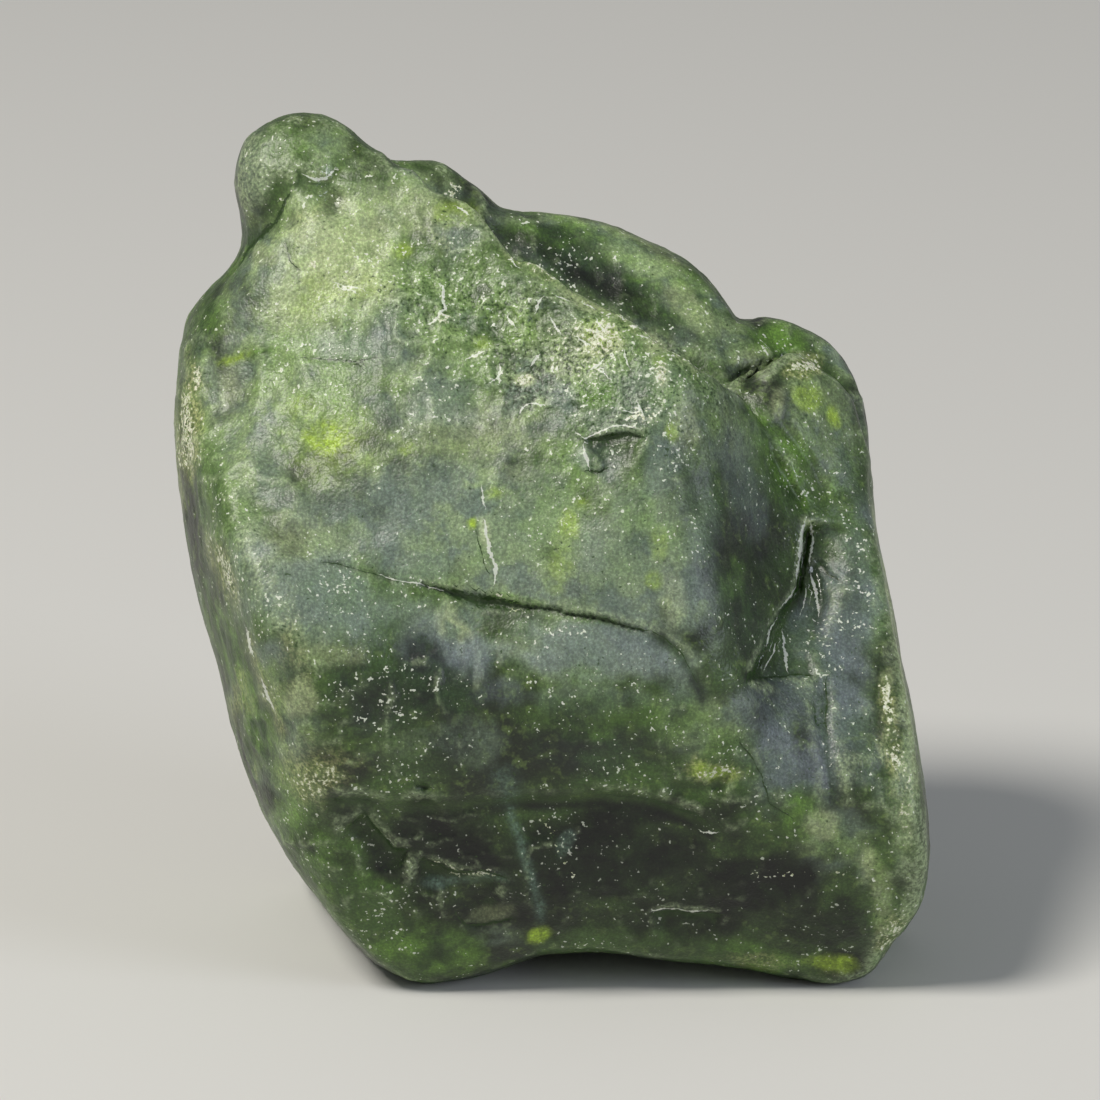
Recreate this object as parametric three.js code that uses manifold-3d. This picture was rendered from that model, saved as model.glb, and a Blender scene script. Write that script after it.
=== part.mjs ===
// Raw chrome diopside: one worn, cleaved lump of crystal, standing on the flats of its own underside.
// Units are millimetres. The finished part stands on z = 0 with +Z up and its front towards -Y.
//
// The form is worked out in the stone's front frame: u to the right, v up the face, w out of the face,
// with the zero in the middle of the stone. The frame leans back by LEAN, because the broad front face
// does. A surface is found by going out from HEART in a straight line, in every direction.

import * as THREE from "three";
import { mergeVertices } from "three/addons/utils/BufferGeometryUtils.js";
import Module from "manifold-3d";

// ---------------------------------------------------------------- driving dimensions
const LEAN = THREE.MathUtils.degToRad(18);
const EYE_DISTANCE = 300; // outlines and routes are drawn as seen from this far in front of a side
const HEART = new THREE.Vector3(0, -1, -1);
const BED_V = -16.8; // the front feet touch the ground at this v
const BED_W = 3.0; // and at this w
const REACH = 26; // longer than any line from HEART to the surface
const EDGE_ROUND = 0.5; // rounding where two faces of a block meet
const SEAM_ROUND = 0.2; // rounding in the valley where two blocks meet
const RIM_ROUND = 0.35; // rounding where the faces run into the outline
const START_DETAIL = 11; // the mesh starts from 20 * (START_DETAIL + 1) ** 2 even triangles
const MESH_STRETCH = new THREE.Vector3(14, 16.5, 11.5); // half sizes that even out the triangles
const FLATNESS = 0.07; // an edge further than this from the true surface is split
const SHORTEST_EDGE = 0.36;
const SPLIT_PASSES = 5;
const SPLIT_SHARES = [0.5, 0.36, 0.64]; // where an edge may be split, to land on a ledge's lip or foot

// ---------------------------------------------------------------- outline of the front, as [u, v]
const OUTLINE = [
  // the right-hand side, from half way up to the right-hand foot
  [12.6, 0], [13.3, -3.9], [13.9, -6.8], [14.25, -8.8], [14.45, -11.5], [14.15, -13.5],
  [13.6, -14.4], [13.0, -15.1], [12.3, -16.2], [11.5, -16.75], [10.6, -16.9],
  // under the stone, to the left-hand foot
  [9.4, -16.6], [7.7, -16.15], [5.8, -15.85], [3.8, -15.6], [1.9, -15.35], [0, -15.45],
  [-1.0, -15.7], [-2.5, -16.3], [-3.8, -16.65], [-4.7, -16.75], [-5.6, -16.5],
  // the left-hand side, and up to the knob's neck
  [-7.3, -15.2], [-8.8, -13.4], [-10.4, -11.1], [-11.5, -8.8], [-12.2, -6.6], [-12.7, -4.4],
  [-13.4, -2.3], [-13.8, -0.9], [-14.2, 1.5], [-14.45, 3.9], [-14.35, 6.5], [-13.9, 9.0],
  [-13.4, 9.8], [-12.4, 10.8], [-12.0, 11.6], [-11.95, 12.5], [-12.15, 13.6],
  // the knob
  [-12.1, 14.8], [-11.8, 15.9], [-11.2, 16.3], [-10.4, 16.7], [-9.6, 16.9], [-8.7, 16.85],
  [-7.9, 16.5], [-7.2, 15.8], [-6.7, 15.4], [-6.1, 15.2], [-5.6, 15.15],
  // the hump behind the top of the front, down to the first notch
  [-4.7, 15.2], [-4.2, 15.05], [-3.7, 14.6], [-2.7, 13.8], [-1.8, 13.1],
  // the rear lobe, down to the second notch
  [0, 12.9], [1.9, 12.6], [3.8, 11.8], [5.8, 10.7], [6.8, 9.5], [7.3, 8.85],
  // the right-hand lobes
  [8.3, 9.0], [9.6, 8.65], [10.9, 7.8], [11.9, 6.3], [12.2, 5.0], [12.3, 2.9],
];

// Top right edge of the front mass, where it drops to the shelf behind it, then the seam below it.
const CREST = [
  [16, 0.8], [12.3, 1.2], [9.9, 1.3], [9.4, 1.6], [9.0, 2.3], [8.65, 2.9], [8.4, 3.85], [7.95, 5],
  [7.2, 5.95], [6.65, 6.25], [6.15, 6.65], [5.55, 6.95], [4.9, 7.45], [4.1, 7.95], [3.25, 8.65],
  [2.35, 9.2], [1.45, 9.7], [0.6, 10.2], [-0.4, 10.9], [-1.3, 11.2], [-1.95, 11.9], [-2.65, 12.8],
  [-3.25, 13.35], [-3.9, 13.6], [-4.5, 13.8], [-5.4, 14.65], [-6.3, 15.15], [-7.3, 17], [-16, 26],
];

// Top edge of the right-hand lobe, in front of the lobe behind it.
const LOBE_CREST = [
  [20, -16], [18, 0], [12.6, 4.2], [11.7, 5.8], [11.1, 6.5], [10.5, 6.9], [9.9, 7.3], [9.1, 7.45],
  [8.5, 7.4], [8, 7.0], [7.5, 6.5], [6.9, 6.4], [6, 8], [0, 12], [-16, 24],
];

// ---------------------------------------------------------------- faces
// Each face passes through `at` and looks along `facing`; the stone lies behind it.
// HULL bounds everything but the knob. The blocks are convex, and each of them holds HEART.
const HULL = [
  { name: "belly", at: [-1, -6, 10], facing: [0.02, -0.42, 1] },
  { name: "under the belly", at: [0, -9.5, 8.4], facing: [0.02, -0.76, 1] },
  { name: "lower left", at: [-9.5, -11, 5.8], facing: [-0.8, -0.45, 0.6] },
  { name: "left flank", at: [-13.5, -1, 3.2], facing: [-1, -0.18, 0.28] },
  { name: "left rear", at: [-12, 1, -4.5], facing: [-0.9, 0.05, -0.5] },
  { name: "right rear", at: [12.9, -5, -3.5], facing: [0.95, 0.12, -0.4] },
  { name: "right back edge", at: [9.8, 1, -7.6], facing: [0.62, 0.22, -0.75] },
  { name: "back", at: [0, -1, -10.2], facing: [0.08, 0.2, -1] },
  { name: "back left", at: [-7.5, -2, -9.2], facing: [-0.42, -0.05, -0.9] },
  { name: "back foot", at: [2, -9, -10.9], facing: [0.1, -0.22, -1] },
  { name: "upper back", at: [0, 8.8, -6.9], facing: [0.05, 0.72, -0.7] },
  { name: "upper back left", at: [-8, 8.5, -4.6], facing: [-0.45, 0.6, -0.7] },
  { name: "sole", at: [0, BED_V - 0.4, BED_W], facing: [0, -Math.cos(LEAN), -Math.sin(LEAN)] },
];
const FRONT_MASS = {
  round: EDGE_ROUND,
  crest: CREST,
  crestMargin: 0.45,
  lean: 0.45,
  faces: [
    { name: "upper front", at: [-4, 3, 9.4], facing: [-0.1, 0.4, 1] },
    { name: "middle front", at: [-1, -3, 9.9], facing: [-0.04, 0.04, 1] },
    { name: "left front", at: [-10.5, 1, 7.7], facing: [-0.55, 0.12, 1] },
    { name: "right side", at: [9.5, -1, 5.2], facing: [0.78, 0.17, 0.62] },
    { name: "left shoulder", at: [-12.4, 11, 2.5], facing: [-0.75, 0.62, 0.3] },
    { name: "top left", at: [-7, 15.6, 2], facing: [-0.1, 0.9, 0.1] },
  ],
};
const REAR_MASS = {
  round: EDGE_ROUND,
  faces: [
    { name: "shelf", at: [3, 10.5, 1.4], facing: [0.26, 0.46, 1] },
    { name: "hump", at: [-3.6, 14.3, 3.2], facing: [-0.35, 0.6, 0.8] },
    { name: "top", at: [1.5, 13.7, -1.5], facing: [0.3, 0.95, -0.15] },
    { name: "slope", at: [7.2, 9.6, -1], facing: [0.8, 0.62, 0.1] },
  ],
};
const RIGHT_LOBE = {
  round: 0.35,
  crest: LOBE_CREST,
  crestMargin: 0.29,
  lean: 0.4,
  faces: [
    { name: "face", at: [9.7, 4.6, 3.5], facing: [0.6, 0.24, 0.78] },
    { name: "face left", at: [8, 5.6, 3.9], facing: [-0.45, 0.2, 0.85] },
    { name: "face top", at: [9.4, 6.6, 3], facing: [0.2, 0.75, 0.7] },
    { name: "underneath", at: [9, -1, 4.2], facing: [0.3, -0.7, 0.6] },
  ],
};
const RIGHT_REAR_LOBE = {
  round: 0.35,
  faces: [
    { name: "face", at: [9.5, 8, -0.3], facing: [0.3, 0.4, 1] },
    { name: "top", at: [9.5, 9.1, -2], facing: [0.3, 0.95, -0.2] },
    { name: "left end", at: [7.2, 8.9, -2], facing: [-0.6, 0.75, 0.2] },
  ],
};
const BLOCKS = [FRONT_MASS, REAR_MASS, RIGHT_LOBE, RIGHT_REAR_LOBE];

// A thumb that stands up from the left end of the front.
const KNOB = { from: [-5, 5, 0], to: [-9.55, 14.1, 2], fromRadius: 5, toRadius: 2.75 };

// ---------------------------------------------------------------- relief
// Sides on which relief is drawn: `right` and `up` span the drawing, `out` looks at the viewer.
const SIDES = {
  front: { right: [1, 0, 0], up: [0, 1, 0], out: [0, 0, 1], from: -0.1, to: 0.25 },
  back: { right: [-1, 0, 0], up: [0, 1, 0], out: [0, 0, -1], from: 0.1, to: 0.5 },
  left: { right: [0, 0, 1], up: [0, 1, 0], out: [-1, 0, 0], from: 0.4, to: 0.8 },
  right: { right: [0, 0, -1], up: [0, 1, 0], out: [1, 0, 0], from: 0.45, to: 0.7 },
  under: {
    right: [1, 0, 0],
    up: [0, Math.sin(LEAN), -Math.cos(LEAN)],
    out: [0, -Math.cos(LEAN), -Math.sin(LEAN)],
    from: 0.6,
    to: 0.9,
  },
};

// Ledge: the ground on the right of the route, as it is walked, lies lower by `drop` and comes back up
// over `fade`. It runs out over `taper` at both ends of the route.
const LEDGES = [
  {
    name: "lower edge of the belly", side: "front", drop: 0.45, fade: 3.2, edge: 0.25, taper: 2,
    route: [
      [-10.2, -9.7], [-8.2, -9.6], [-7, -9.55], [-6.4, -9.75], [-3.9, -9.7], [-2.5, -9.5],
      [0, -9.5], [1.9, -9.4], [2.6, -9.35], [3.9, -9.6], [4.9, -9.9], [5.9, -10.35], [6.5, -10.75],
      [7.6, -11.5],
    ],
  },
  {
    name: "lip above the lower edge", side: "front", drop: 0.22, fade: 1.2, edge: 0.15, taper: 0.8,
    route: [[4.2, -8.8], [5, -8.95], [6.1, -8.9], [6.9, -8.6], [7.3, -8.9]],
  },
  {
    name: "long front crack", side: "front", drop: 0.32, fade: 2, edge: 0.13, taper: 2,
    route: [
      [-6.8, -0.8], [-5.9, -1.05], [-5.3, -1.2], [-4.5, -1.45], [-3.1, -1.9], [-1.9, -2.05],
      [-0.8, -2.15], [0.4, -2.35], [1.6, -2.55], [2.9, -2.85], [3.9, -3.15], [4.6, -3.45],
      [5.2, -3.9], [5.7, -4.6], [6.1, -5.5],
    ],
  },
  {
    name: "run-out of the long crack", side: "front", drop: 0.12, fade: 1.2, edge: 0.14, taper: 1,
    route: [[5.5, -4.3], [6.1, -5.5], [6.8, -6.3], [7.4, -7.4], [8.1, -8.7], [8.5, -9.8]],
  },
  {
    name: "right-hand flake", side: "front", drop: 0.65, fade: 2.1, edge: 0.13, taper: 0.5,
    route: [
      [7.6, -5], [8, -4.3], [8.4, -3.6], [8.9, -2.7], [9.45, -1.6], [9.65, -0.9], [9.75, 0.3],
      [9.85, 1.2],
    ],
  },
  {
    name: "foot of the flake", side: "front", drop: 0.3, fade: 1.1, edge: 0.13, taper: 0.4,
    route: [[10.3, -4.75], [9.3, -4.8], [8.4, -4.95], [7.7, -5]],
  },
  {
    name: "left-hand strip", side: "front", drop: 0.6, fade: 2, edge: 0.3, taper: 3,
    route: [
      [-12.9, 0.4], [-12.4, -1.2], [-11.95, -2.8], [-11.6, -3.8], [-11.2, -5.2], [-10.7, -6.7],
      [-10.45, -7.7], [-9.9, -8.7], [-9.6, -9.6],
    ],
  },
  {
    name: "notch in the upper front", side: "front", drop: 0.45, fade: 1.5, edge: 0.15, taper: 0.5,
    route: [[1.15, 3.9], [1.5, 4.2], [2.3, 4.4], [3.4, 4.45], [3.8, 4.2]],
  },
  {
    name: "lower left step", side: "front", drop: 0.5, fade: 2, edge: 0.2, taper: 0.5,
    route: [[-7.3, -9.9], [-6.5, -11], [-6.1, -11.5], [-5.3, -11.6]],
  },
  {
    name: "step in the left shoulder", side: "front", drop: 0.3, fade: 2.4, edge: 0.25, taper: 0.8,
    route: [[-13.3, 7.1], [-12, 7.6], [-10.8, 7.7], [-9.4, 7.2]],
  },
  {
    name: "ledge over the right foot", side: "front", drop: 0.3, fade: 1.4, edge: 0.2, taper: 0.6,
    route: [[3.8, -14.1], [4.7, -13.85], [5.4, -14], [6.8, -13.95]],
  },
  {
    name: "chip edge of the knob", side: "front", drop: 0.22, fade: 0.8, edge: 0.12, taper: 0.3,
    route: [[-9.75, 14.65], [-9.2, 14.3], [-8.6, 14.35], [-8.1, 14.9]],
  },
  {
    name: "ledge over the left foot", side: "front", drop: 0.4, fade: 1.7, edge: 0.2, taper: 0.7,
    route: [[-5.2, -11.9], [-4, -12.3], [-3.3, -12.5], [-1.7, -12.7]],
  },
  {
    name: "high cleavage step", side: "back", drop: 0.65, fade: 8, edge: 0.35, taper: 3,
    route: [
      [-13, 5.4], [-9.5, 3.4], [-6.5, 3.9], [-3.2, 2.3], [0.5, 2.7], [3.4, 0.9], [6.8, 1.3],
      [9.2, -0.3], [13, -0.6],
    ],
  },
  {
    name: "low cleavage step", side: "back", drop: 0.5, fade: 7, edge: 0.35, taper: 3,
    route: [[-13, -6.5], [-9, -6.9], [-5.9, -6.2], [-1.6, -8], [2.6, -7.7], [5.6, -9.6], [9, -10]],
  },
  {
    name: "upright cleavage step", side: "back", drop: 0.6, fade: 7, edge: 0.3, taper: 2,
    route: [[5.4, 11], [4.6, 7.6], [5.2, 4.6], [4.2, 1.2]],
  },
  {
    name: "step of the right side", side: "right", drop: 0.5, fade: 6, edge: 0.3, taper: 2,
    route: [[-2, 3.9], [0.8, 2.3], [3, 2.8], [5.6, 1.2], [9, 1.2]],
  },
  {
    name: "upright step of the right side", side: "right", drop: 0.45, fade: 5, edge: 0.3, taper: 2.5,
    route: [[3.2, 0], [2.4, -4.6], [3.3, -8.4], [2.7, -13]],
  },
  {
    name: "step of the left side", side: "left", drop: 0.5, fade: 7, edge: 0.35, taper: 2.5,
    route: [[-10, 0.8], [-7.4, -0.8], [-4.8, -0.4], [-2.6, -2.6], [-0.6, -5.4]],
  },
];

// Furrow: a groove along the route, which runs out over `taper` at both ends.
const FURROWS = [
  {
    name: "neck of the knob", side: "front", depth: 0.35, width: 0.5, taper: 1,
    route: [[-10.1, 14.6], [-10.7, 13.2], [-11.4, 12], [-12, 10.9]],
  },
  {
    name: "fork of the neck", side: "front", depth: 0.2, width: 0.3, taper: 0.6,
    route: [[-11.5, 11.7], [-10.2, 12.5], [-9.6, 13.1]],
  },
  {
    name: "seam of the lobe", side: "front", depth: 0.3, width: 0.24, taper: 0.6,
    route: [[7.15, 5.9], [7.8, 4.9], [8.55, 3.5], [8.9, 2.85], [9.4, 2.1], [9.9, 1.4]],
  },
  {
    name: "right-hand furrow", side: "front", depth: 0.3, width: 0.5, taper: 1,
    route: [[5.1, 4.9], [5.5, 3], [5.8, 1]],
  },
  {
    name: "second seam of the lobe", side: "front", depth: 0.28, width: 0.28, taper: 1,
    route: [[8.4, 5.4], [9.4, 4.1], [10.1, 3.1], [10.9, 1.6]],
  },
  {
    name: "grain of the right side", side: "front", depth: 0.2, width: 0.3, taper: 1.2,
    route: [[10.3, -4.6], [10.6, -7.6], [11, -10.4]],
  },
  {
    name: "short crack by the flake", side: "front", depth: 0.25, width: 0.25, taper: 0.8,
    route: [[10.2, -0.2], [10.4, -1.8], [10.3, -3.4]],
  },
  {
    name: "grain of the upper back", side: "back", depth: 0.35, width: 0.6, taper: 2.5,
    route: [[-4.6, 11.4], [-3.2, 7.8], [-3.9, 4], [-3.3, 1.6]],
  },
  {
    name: "grain of the lower back", side: "back", depth: 0.3, width: 0.5, taper: 2.5,
    route: [[-2.4, 1.6], [-2, -2.4], [-3, -6.8]],
  },
];

// Hollow: a round dish.
const HOLLOWS = [
  { name: "dimple under the knob", side: "front", at: [-8.35, 13.4], radius: 0.6, depth: 0.45 },
  { name: "pit of the knob", side: "front", at: [-10.6, 15.2], radius: 0.45, depth: 0.25 },
  { name: "pit at the end of the crest", side: "front", at: [7.7, 6.6], radius: 0.5, depth: 0.45 },
  { name: "pocket by the left foot", side: "front", at: [-2.6, -13.8], radius: 0.8, depth: 0.3 },
  { name: "chip of the left shoulder", side: "front", at: [-11.3, 1.7], radius: 0.7, depth: 0.3 },
  { name: "dent in the middle", side: "front", at: [-6.6, 1.1], radius: 0.7, depth: 0.2 },
  { name: "dish in the back", side: "back", at: [4.6, -4.4], radius: 2.4, depth: 0.55 },
  { name: "small dish in the back", side: "back", at: [-7.2, -1.4], radius: 1.3, depth: 0.4 },
  { name: "chip of the back edge", side: "back", at: [8.6, 5.6], radius: 1.1, depth: 0.4 },
  { name: "dish in the left side", side: "left", at: [-4.2, 0.6], radius: 1.5, depth: 0.35 },
  { name: "arch of the underside", side: "under", at: [2.4, 0], radius: 5.5, depth: 1.9 },
];

// Slow swells and ripples of the worn skin.
const SWELLS = [
  { wave: 9, height: 0.38 },
  { wave: 4.2, height: 0.2 },
  { wave: 2, height: 0.08 },
];
const SWELL_AT_OUTLINE = 0.2;
// The rounded rim comes this far out past the drawn outline before it is rounded.
const RIM_MARGIN = 0.1;

// ---------------------------------------------------------------- smooth noise
function latticeValue(i, j, k) {
  let h = Math.imul(i, 0x27d4eb2d) ^ Math.imul(j, 0x165667b1) ^ Math.imul(k, 0x9e3779b1);
  h = Math.imul(h ^ (h >>> 15), 0x85ebca6b);
  h = Math.imul(h ^ (h >>> 13), 0xc2b2ae35);
  return ((h ^ (h >>> 16)) >>> 0) / 2147483648 - 1;
}

function ease(t) {
  return t * t * t * (t * (6 * t - 15) + 10);
}

// From -1 to 1, changing over about one unit of length.
function noise(x, y, z) {
  const [i, j, k] = [Math.floor(x), Math.floor(y), Math.floor(z)];
  const [a, b, c] = [ease(x - i), ease(y - j), ease(z - k)];
  const { lerp } = THREE.MathUtils;
  const along = (j1, k1) => lerp(latticeValue(i, j1, k1), latticeValue(i + 1, j1, k1), a);
  return lerp(lerp(along(j, k), along(j + 1, k), b), lerp(along(j, k + 1), along(j + 1, k + 1), b), c);
}

// ---------------------------------------------------------------- drawn outlines as radius over bearing
// Returns how far a point [u, v] lies past a closed outline that is seen once in every bearing.
function pastOutlineOf(points) {
  const turn = 2 * Math.PI;
  const knots = points
    .map(([u, v]) => ({ bearing: (Math.atan2(v, u) + turn) % turn, radius: Math.hypot(u, v) }))
    .sort((a, b) => a.bearing - b.bearing);
  const last = knots.length;
  const knot = (n) => {
    const lap = Math.floor(n / last);
    const { bearing, radius } = knots[n - lap * last];
    return { bearing: bearing + lap * turn, radius };
  };
  const slopeAt = (n) => {
    const [before, after] = [knot(n - 1), knot(n + 1)];
    return (after.radius - before.radius) / (after.bearing - before.bearing);
  };
  return (u, v) => {
    const bearing = (Math.atan2(v, u) + turn) % turn;
    let n = knots.findIndex((k) => k.bearing > bearing) - 1;
    if (n === -2) n = last - 1;
    const [start, end] = [knot(n), knot(n + 1)];
    const width = end.bearing - start.bearing;
    const t = (bearing - start.bearing) / width;
    const s = 1 - t;
    const radius = start.radius * s * s * (1 + 2 * t) + end.radius * t * t * (1 + 2 * s)
      + width * t * s * (slopeAt(n) * s - slopeAt(n + 1) * t);
    return Math.hypot(u, v) - radius;
  };
}

const pastOutline = pastOutlineOf(OUTLINE);

// ---------------------------------------------------------------- faces as distances
// Softened largest value: two equal values give a corner rounded by about `round`.
function softMax(values, round) {
  const most = Math.max(...values);
  return most + round * Math.log(values.reduce((sum, x) => sum + Math.exp((x - most) / round), 0));
}

function softMin(values, round) {
  return -softMax(values.map((x) => -x), round);
}

function planesOf(faces) {
  return faces.map(({ at, facing }) => {
    const normal = new THREE.Vector3(...facing).normalize();
    return new THREE.Plane(normal, -normal.dot(new THREE.Vector3(...at)));
  });
}

function pastBlockOf({ faces, round, crest, crestMargin, lean }) {
  const planes = planesOf(faces);
  const pastCrest = crest && pastOutlineOf(crest);
  return (p, u, v) => {
    const past = softMax(planes.map((plane) => plane.distanceToPoint(p)), round);
    if (!crest) return past;
    // Behind its crest a block falls away, and further the deeper a point lies under its faces.
    // Rounding takes the margin off the edge again.
    return softMax([past, pastCrest(u, v) - crestMargin - lean * Math.min(past, 0)], round);
  };
}

const pastHull = pastBlockOf({ faces: HULL, round: EDGE_ROUND });
const pastBlocks = BLOCKS.map(pastBlockOf);

function pastKnob(p) {
  const start = new THREE.Vector3(...KNOB.from);
  const axis = new THREE.Vector3(...KNOB.to).sub(start);
  const along = THREE.MathUtils.clamp(p.clone().sub(start).dot(axis) / axis.lengthSq(), 0, 1);
  const radius = THREE.MathUtils.lerp(KNOB.fromRadius, KNOB.toRadius, along);
  return p.distanceTo(start.addScaledVector(axis, along)) - radius;
}

// Below zero inside the stone, above zero outside.
function form(p) {
  const nearness = EYE_DISTANCE / (EYE_DISTANCE - p.z);
  const [u, v] = [p.x * nearness, p.y * nearness];
  const lump = softMin(pastBlocks.map((past) => past(p, u, v)), SEAM_ROUND);
  const body = softMax([lump, pastHull(p)], EDGE_ROUND);
  return softMax([softMin([body, pastKnob(p)], 0.35), pastOutline(u, v) - RIM_MARGIN], RIM_ROUND);
}

function surfaceAlong(direction) {
  let [inside, outside] = [0, REACH];
  const p = new THREE.Vector3();
  for (let step = 0; step < 18; step++) {
    const middle = (inside + outside) / 2;
    p.copy(HEART).addScaledVector(direction, middle);
    if (form(p) < 0) inside = middle;
    else outside = middle;
  }
  return p;
}

function normalAt(p) {
  const h = 0.05;
  const slope = (x, y, z) => form(new THREE.Vector3(p.x + x, p.y + y, p.z + z));
  return new THREE.Vector3(
    slope(h, 0, 0) - slope(-h, 0, 0),
    slope(0, h, 0) - slope(0, -h, 0),
    slope(0, 0, h) - slope(0, 0, -h),
  ).normalize();
}

// ---------------------------------------------------------------- relief as depth under the faces
// Nearest place on a route: how far away it is, on which side, and how far from the route's ends.
function nearRoute(route, u, v) {
  let best = { distance: Infinity };
  let walked = 0;
  for (let s = 0; s + 1 < route.length; s++) {
    const [[u0, v0], [u1, v1]] = [route[s], route[s + 1]];
    const [du, dv] = [u1 - u0, v1 - v0];
    const length = Math.hypot(du, dv);
    const t = THREE.MathUtils.clamp(((u - u0) * du + (v - v0) * dv) / length ** 2, 0, 1);
    const [ou, ov] = [u - u0 - t * du, v - v0 - t * dv];
    const distance = Math.hypot(ou, ov);
    if (distance < best.distance) {
      best = { distance, toRight: Math.sign(ou * dv - ov * du) * distance, walked: walked + t * length };
    }
    walked += length;
  }
  return { ...best, fromEnd: Math.min(best.walked, walked - best.walked) };
}

const { smoothstep } = THREE.MathUtils;

function ledgeDepth({ route, drop, fade, edge, taper }, u, v) {
  const { toRight, fromEnd } = nearRoute(route, u, v);
  return drop * smoothstep(toRight, -edge, edge) * (1 - smoothstep(toRight, edge, fade))
    * smoothstep(fromEnd, 0, taper);
}

function furrowDepth({ route, depth, width, taper }, u, v) {
  const { distance, fromEnd } = nearRoute(route, u, v);
  return depth * Math.exp(-((distance / width) ** 2)) * smoothstep(fromEnd, 0, taper);
}

function hollowDepth({ at, depth, radius }, u, v) {
  return depth * Math.exp(-((Math.hypot(u - at[0], v - at[1]) / radius) ** 2));
}

function sunkAt(p, normal) {
  let sunk = 0;
  for (const [side, { right, up, out, from, to }] of Object.entries(SIDES)) {
    const seen = smoothstep(normal.dot(new THREE.Vector3(...out)), from, to);
    if (seen === 0) continue;
    const nearness = EYE_DISTANCE / (EYE_DISTANCE - p.dot(new THREE.Vector3(...out)));
    const u = p.dot(new THREE.Vector3(...right)) * nearness;
    const v = p.dot(new THREE.Vector3(...up)) * nearness;
    const onSide = (relief) => relief.side === side;
    for (const ledge of LEDGES.filter(onSide)) sunk += seen * ledgeDepth(ledge, u, v);
    for (const furrow of FURROWS.filter(onSide)) sunk += seen * furrowDepth(furrow, u, v);
    for (const hollow of HOLLOWS.filter(onSide)) sunk += seen * hollowDepth(hollow, u, v);
  }
  return sunk;
}

function swellAt(p) {
  const swell = ({ wave, height }) => height * noise(p.x / wave + 7.3, p.y / wave + 2.1, p.z / wave + 4.7);
  return SWELLS.reduce((sum, each) => sum + swell(each), 0);
}

function skinAlong(direction) {
  const p = surfaceAlong(direction);
  const normal = normalAt(p);
  // The swells die down towards the drawn outline.
  const swelling = THREE.MathUtils.lerp(SWELL_AT_OUTLINE, 1, smoothstep(Math.abs(normal.z), 0.1, 0.6));
  return p.addScaledVector(normal, swelling * swellAt(p) - sunkAt(p, normal));
}

// ---------------------------------------------------------------- mesh, finer where the skin bends
function startMesh() {
  const sphere = new THREE.IcosahedronGeometry(1, START_DETAIL);
  sphere.deleteAttribute("normal");
  sphere.deleteAttribute("uv");
  const { attributes, index } = mergeVertices(sphere, 1e-5);
  const directions = [];
  for (let n = 0; n < attributes.position.count; n++) {
    const direction = new THREE.Vector3().fromBufferAttribute(attributes.position, n);
    directions.push(direction.multiply(MESH_STRETCH).normalize());
  }
  const triangles = [];
  for (let n = 0; n < index.count; n += 3) triangles.push([...index.array.slice(n, n + 3)]);
  return { directions, places: directions.map(skinAlong), triangles };
}

// Splits the edges that cut across a bend, each where it lies furthest from the skin.
function splitBends({ directions, places, triangles }) {
  const edgeKey = (a, b) => (a < b ? `${a} ${b}` : `${b} ${a}`);
  const middles = new Map();
  const measured = new Map();
  const chord = new THREE.Line3();
  const nearest = new THREE.Vector3();
  const measure = (a, b) => {
    const key = edgeKey(a, b);
    if (!measured.has(key)) {
      chord.set(places[a], places[b]);
      let most = { off: -1 };
      for (const share of SPLIT_SHARES) {
        const direction = directions[a].clone().lerp(directions[b], share).normalize();
        const place = skinAlong(direction);
        const off = chord.closestPointToPoint(place, true, nearest).distanceTo(place);
        if (off > most.off + FLATNESS / 4) most = { direction, place, off };
      }
      measured.set(key, { ...most, bent: most.off > FLATNESS && chord.distance() > SHORTEST_EDGE });
    }
    return measured.get(key);
  };
  const split = (a, b) => {
    const { direction, place } = measure(a, b);
    middles.set(edgeKey(a, b), directions.length);
    directions.push(direction);
    places.push(place);
  };
  const edgesOf = ([a, b, c]) => [[a, b], [b, c], [c, a]];
  const isSplit = ([a, b]) => middles.has(edgeKey(a, b));
  const length = ([a, b]) => places[a].distanceTo(places[b]);
  for (const triangle of triangles) {
    for (const [a, b] of edgesOf(triangle)) {
      if (!isSplit([a, b]) && measure(a, b).bent) split(a, b);
    }
  }
  // A triangle with a split edge also has its longest edge split, so that none becomes a sliver.
  for (let grown = true; grown; ) {
    grown = false;
    for (const triangle of triangles) {
      const edges = edgesOf(triangle);
      const longest = edges.reduce((best, edge) => (length(edge) > length(best) ? edge : best));
      if (edges.some(isSplit) && !isSplit(longest)) {
        split(...longest);
        grown = true;
      }
    }
  }
  const pieces = triangles.flatMap(([a, b, c]) => {
    const corners = [[a, b, c], [b, c, a], [c, a, b]];
    const middle = ([from, to]) => middles.get(edgeKey(from, to));
    const count = edgesOf([a, b, c]).filter(isSplit).length;
    if (count === 0) return [[a, b, c]];
    if (count === 3) {
      const [ab, bc, ca] = edgesOf([a, b, c]).map(middle);
      return [[a, ab, ca], [ab, b, bc], [ca, bc, c], [ab, bc, ca]];
    }
    if (count === 1) {
      const [p, q, r] = corners.find(([from, to]) => isSplit([from, to]));
      const pq = middle([p, q]);
      return [[p, pq, r], [pq, q, r]];
    }
    const [p, q, r] = corners.find(([from, , to]) => !isSplit([to, from]));
    const [pq, qr] = [middle([p, q]), middle([q, r])];
    return places[p].distanceTo(places[qr]) < places[pq].distanceTo(places[r])
      ? [[pq, q, qr], [p, pq, qr], [p, qr, r]]
      : [[pq, q, qr], [p, pq, r], [pq, qr, r]];
  });
  return { directions, places, triangles: pieces };
}

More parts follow.
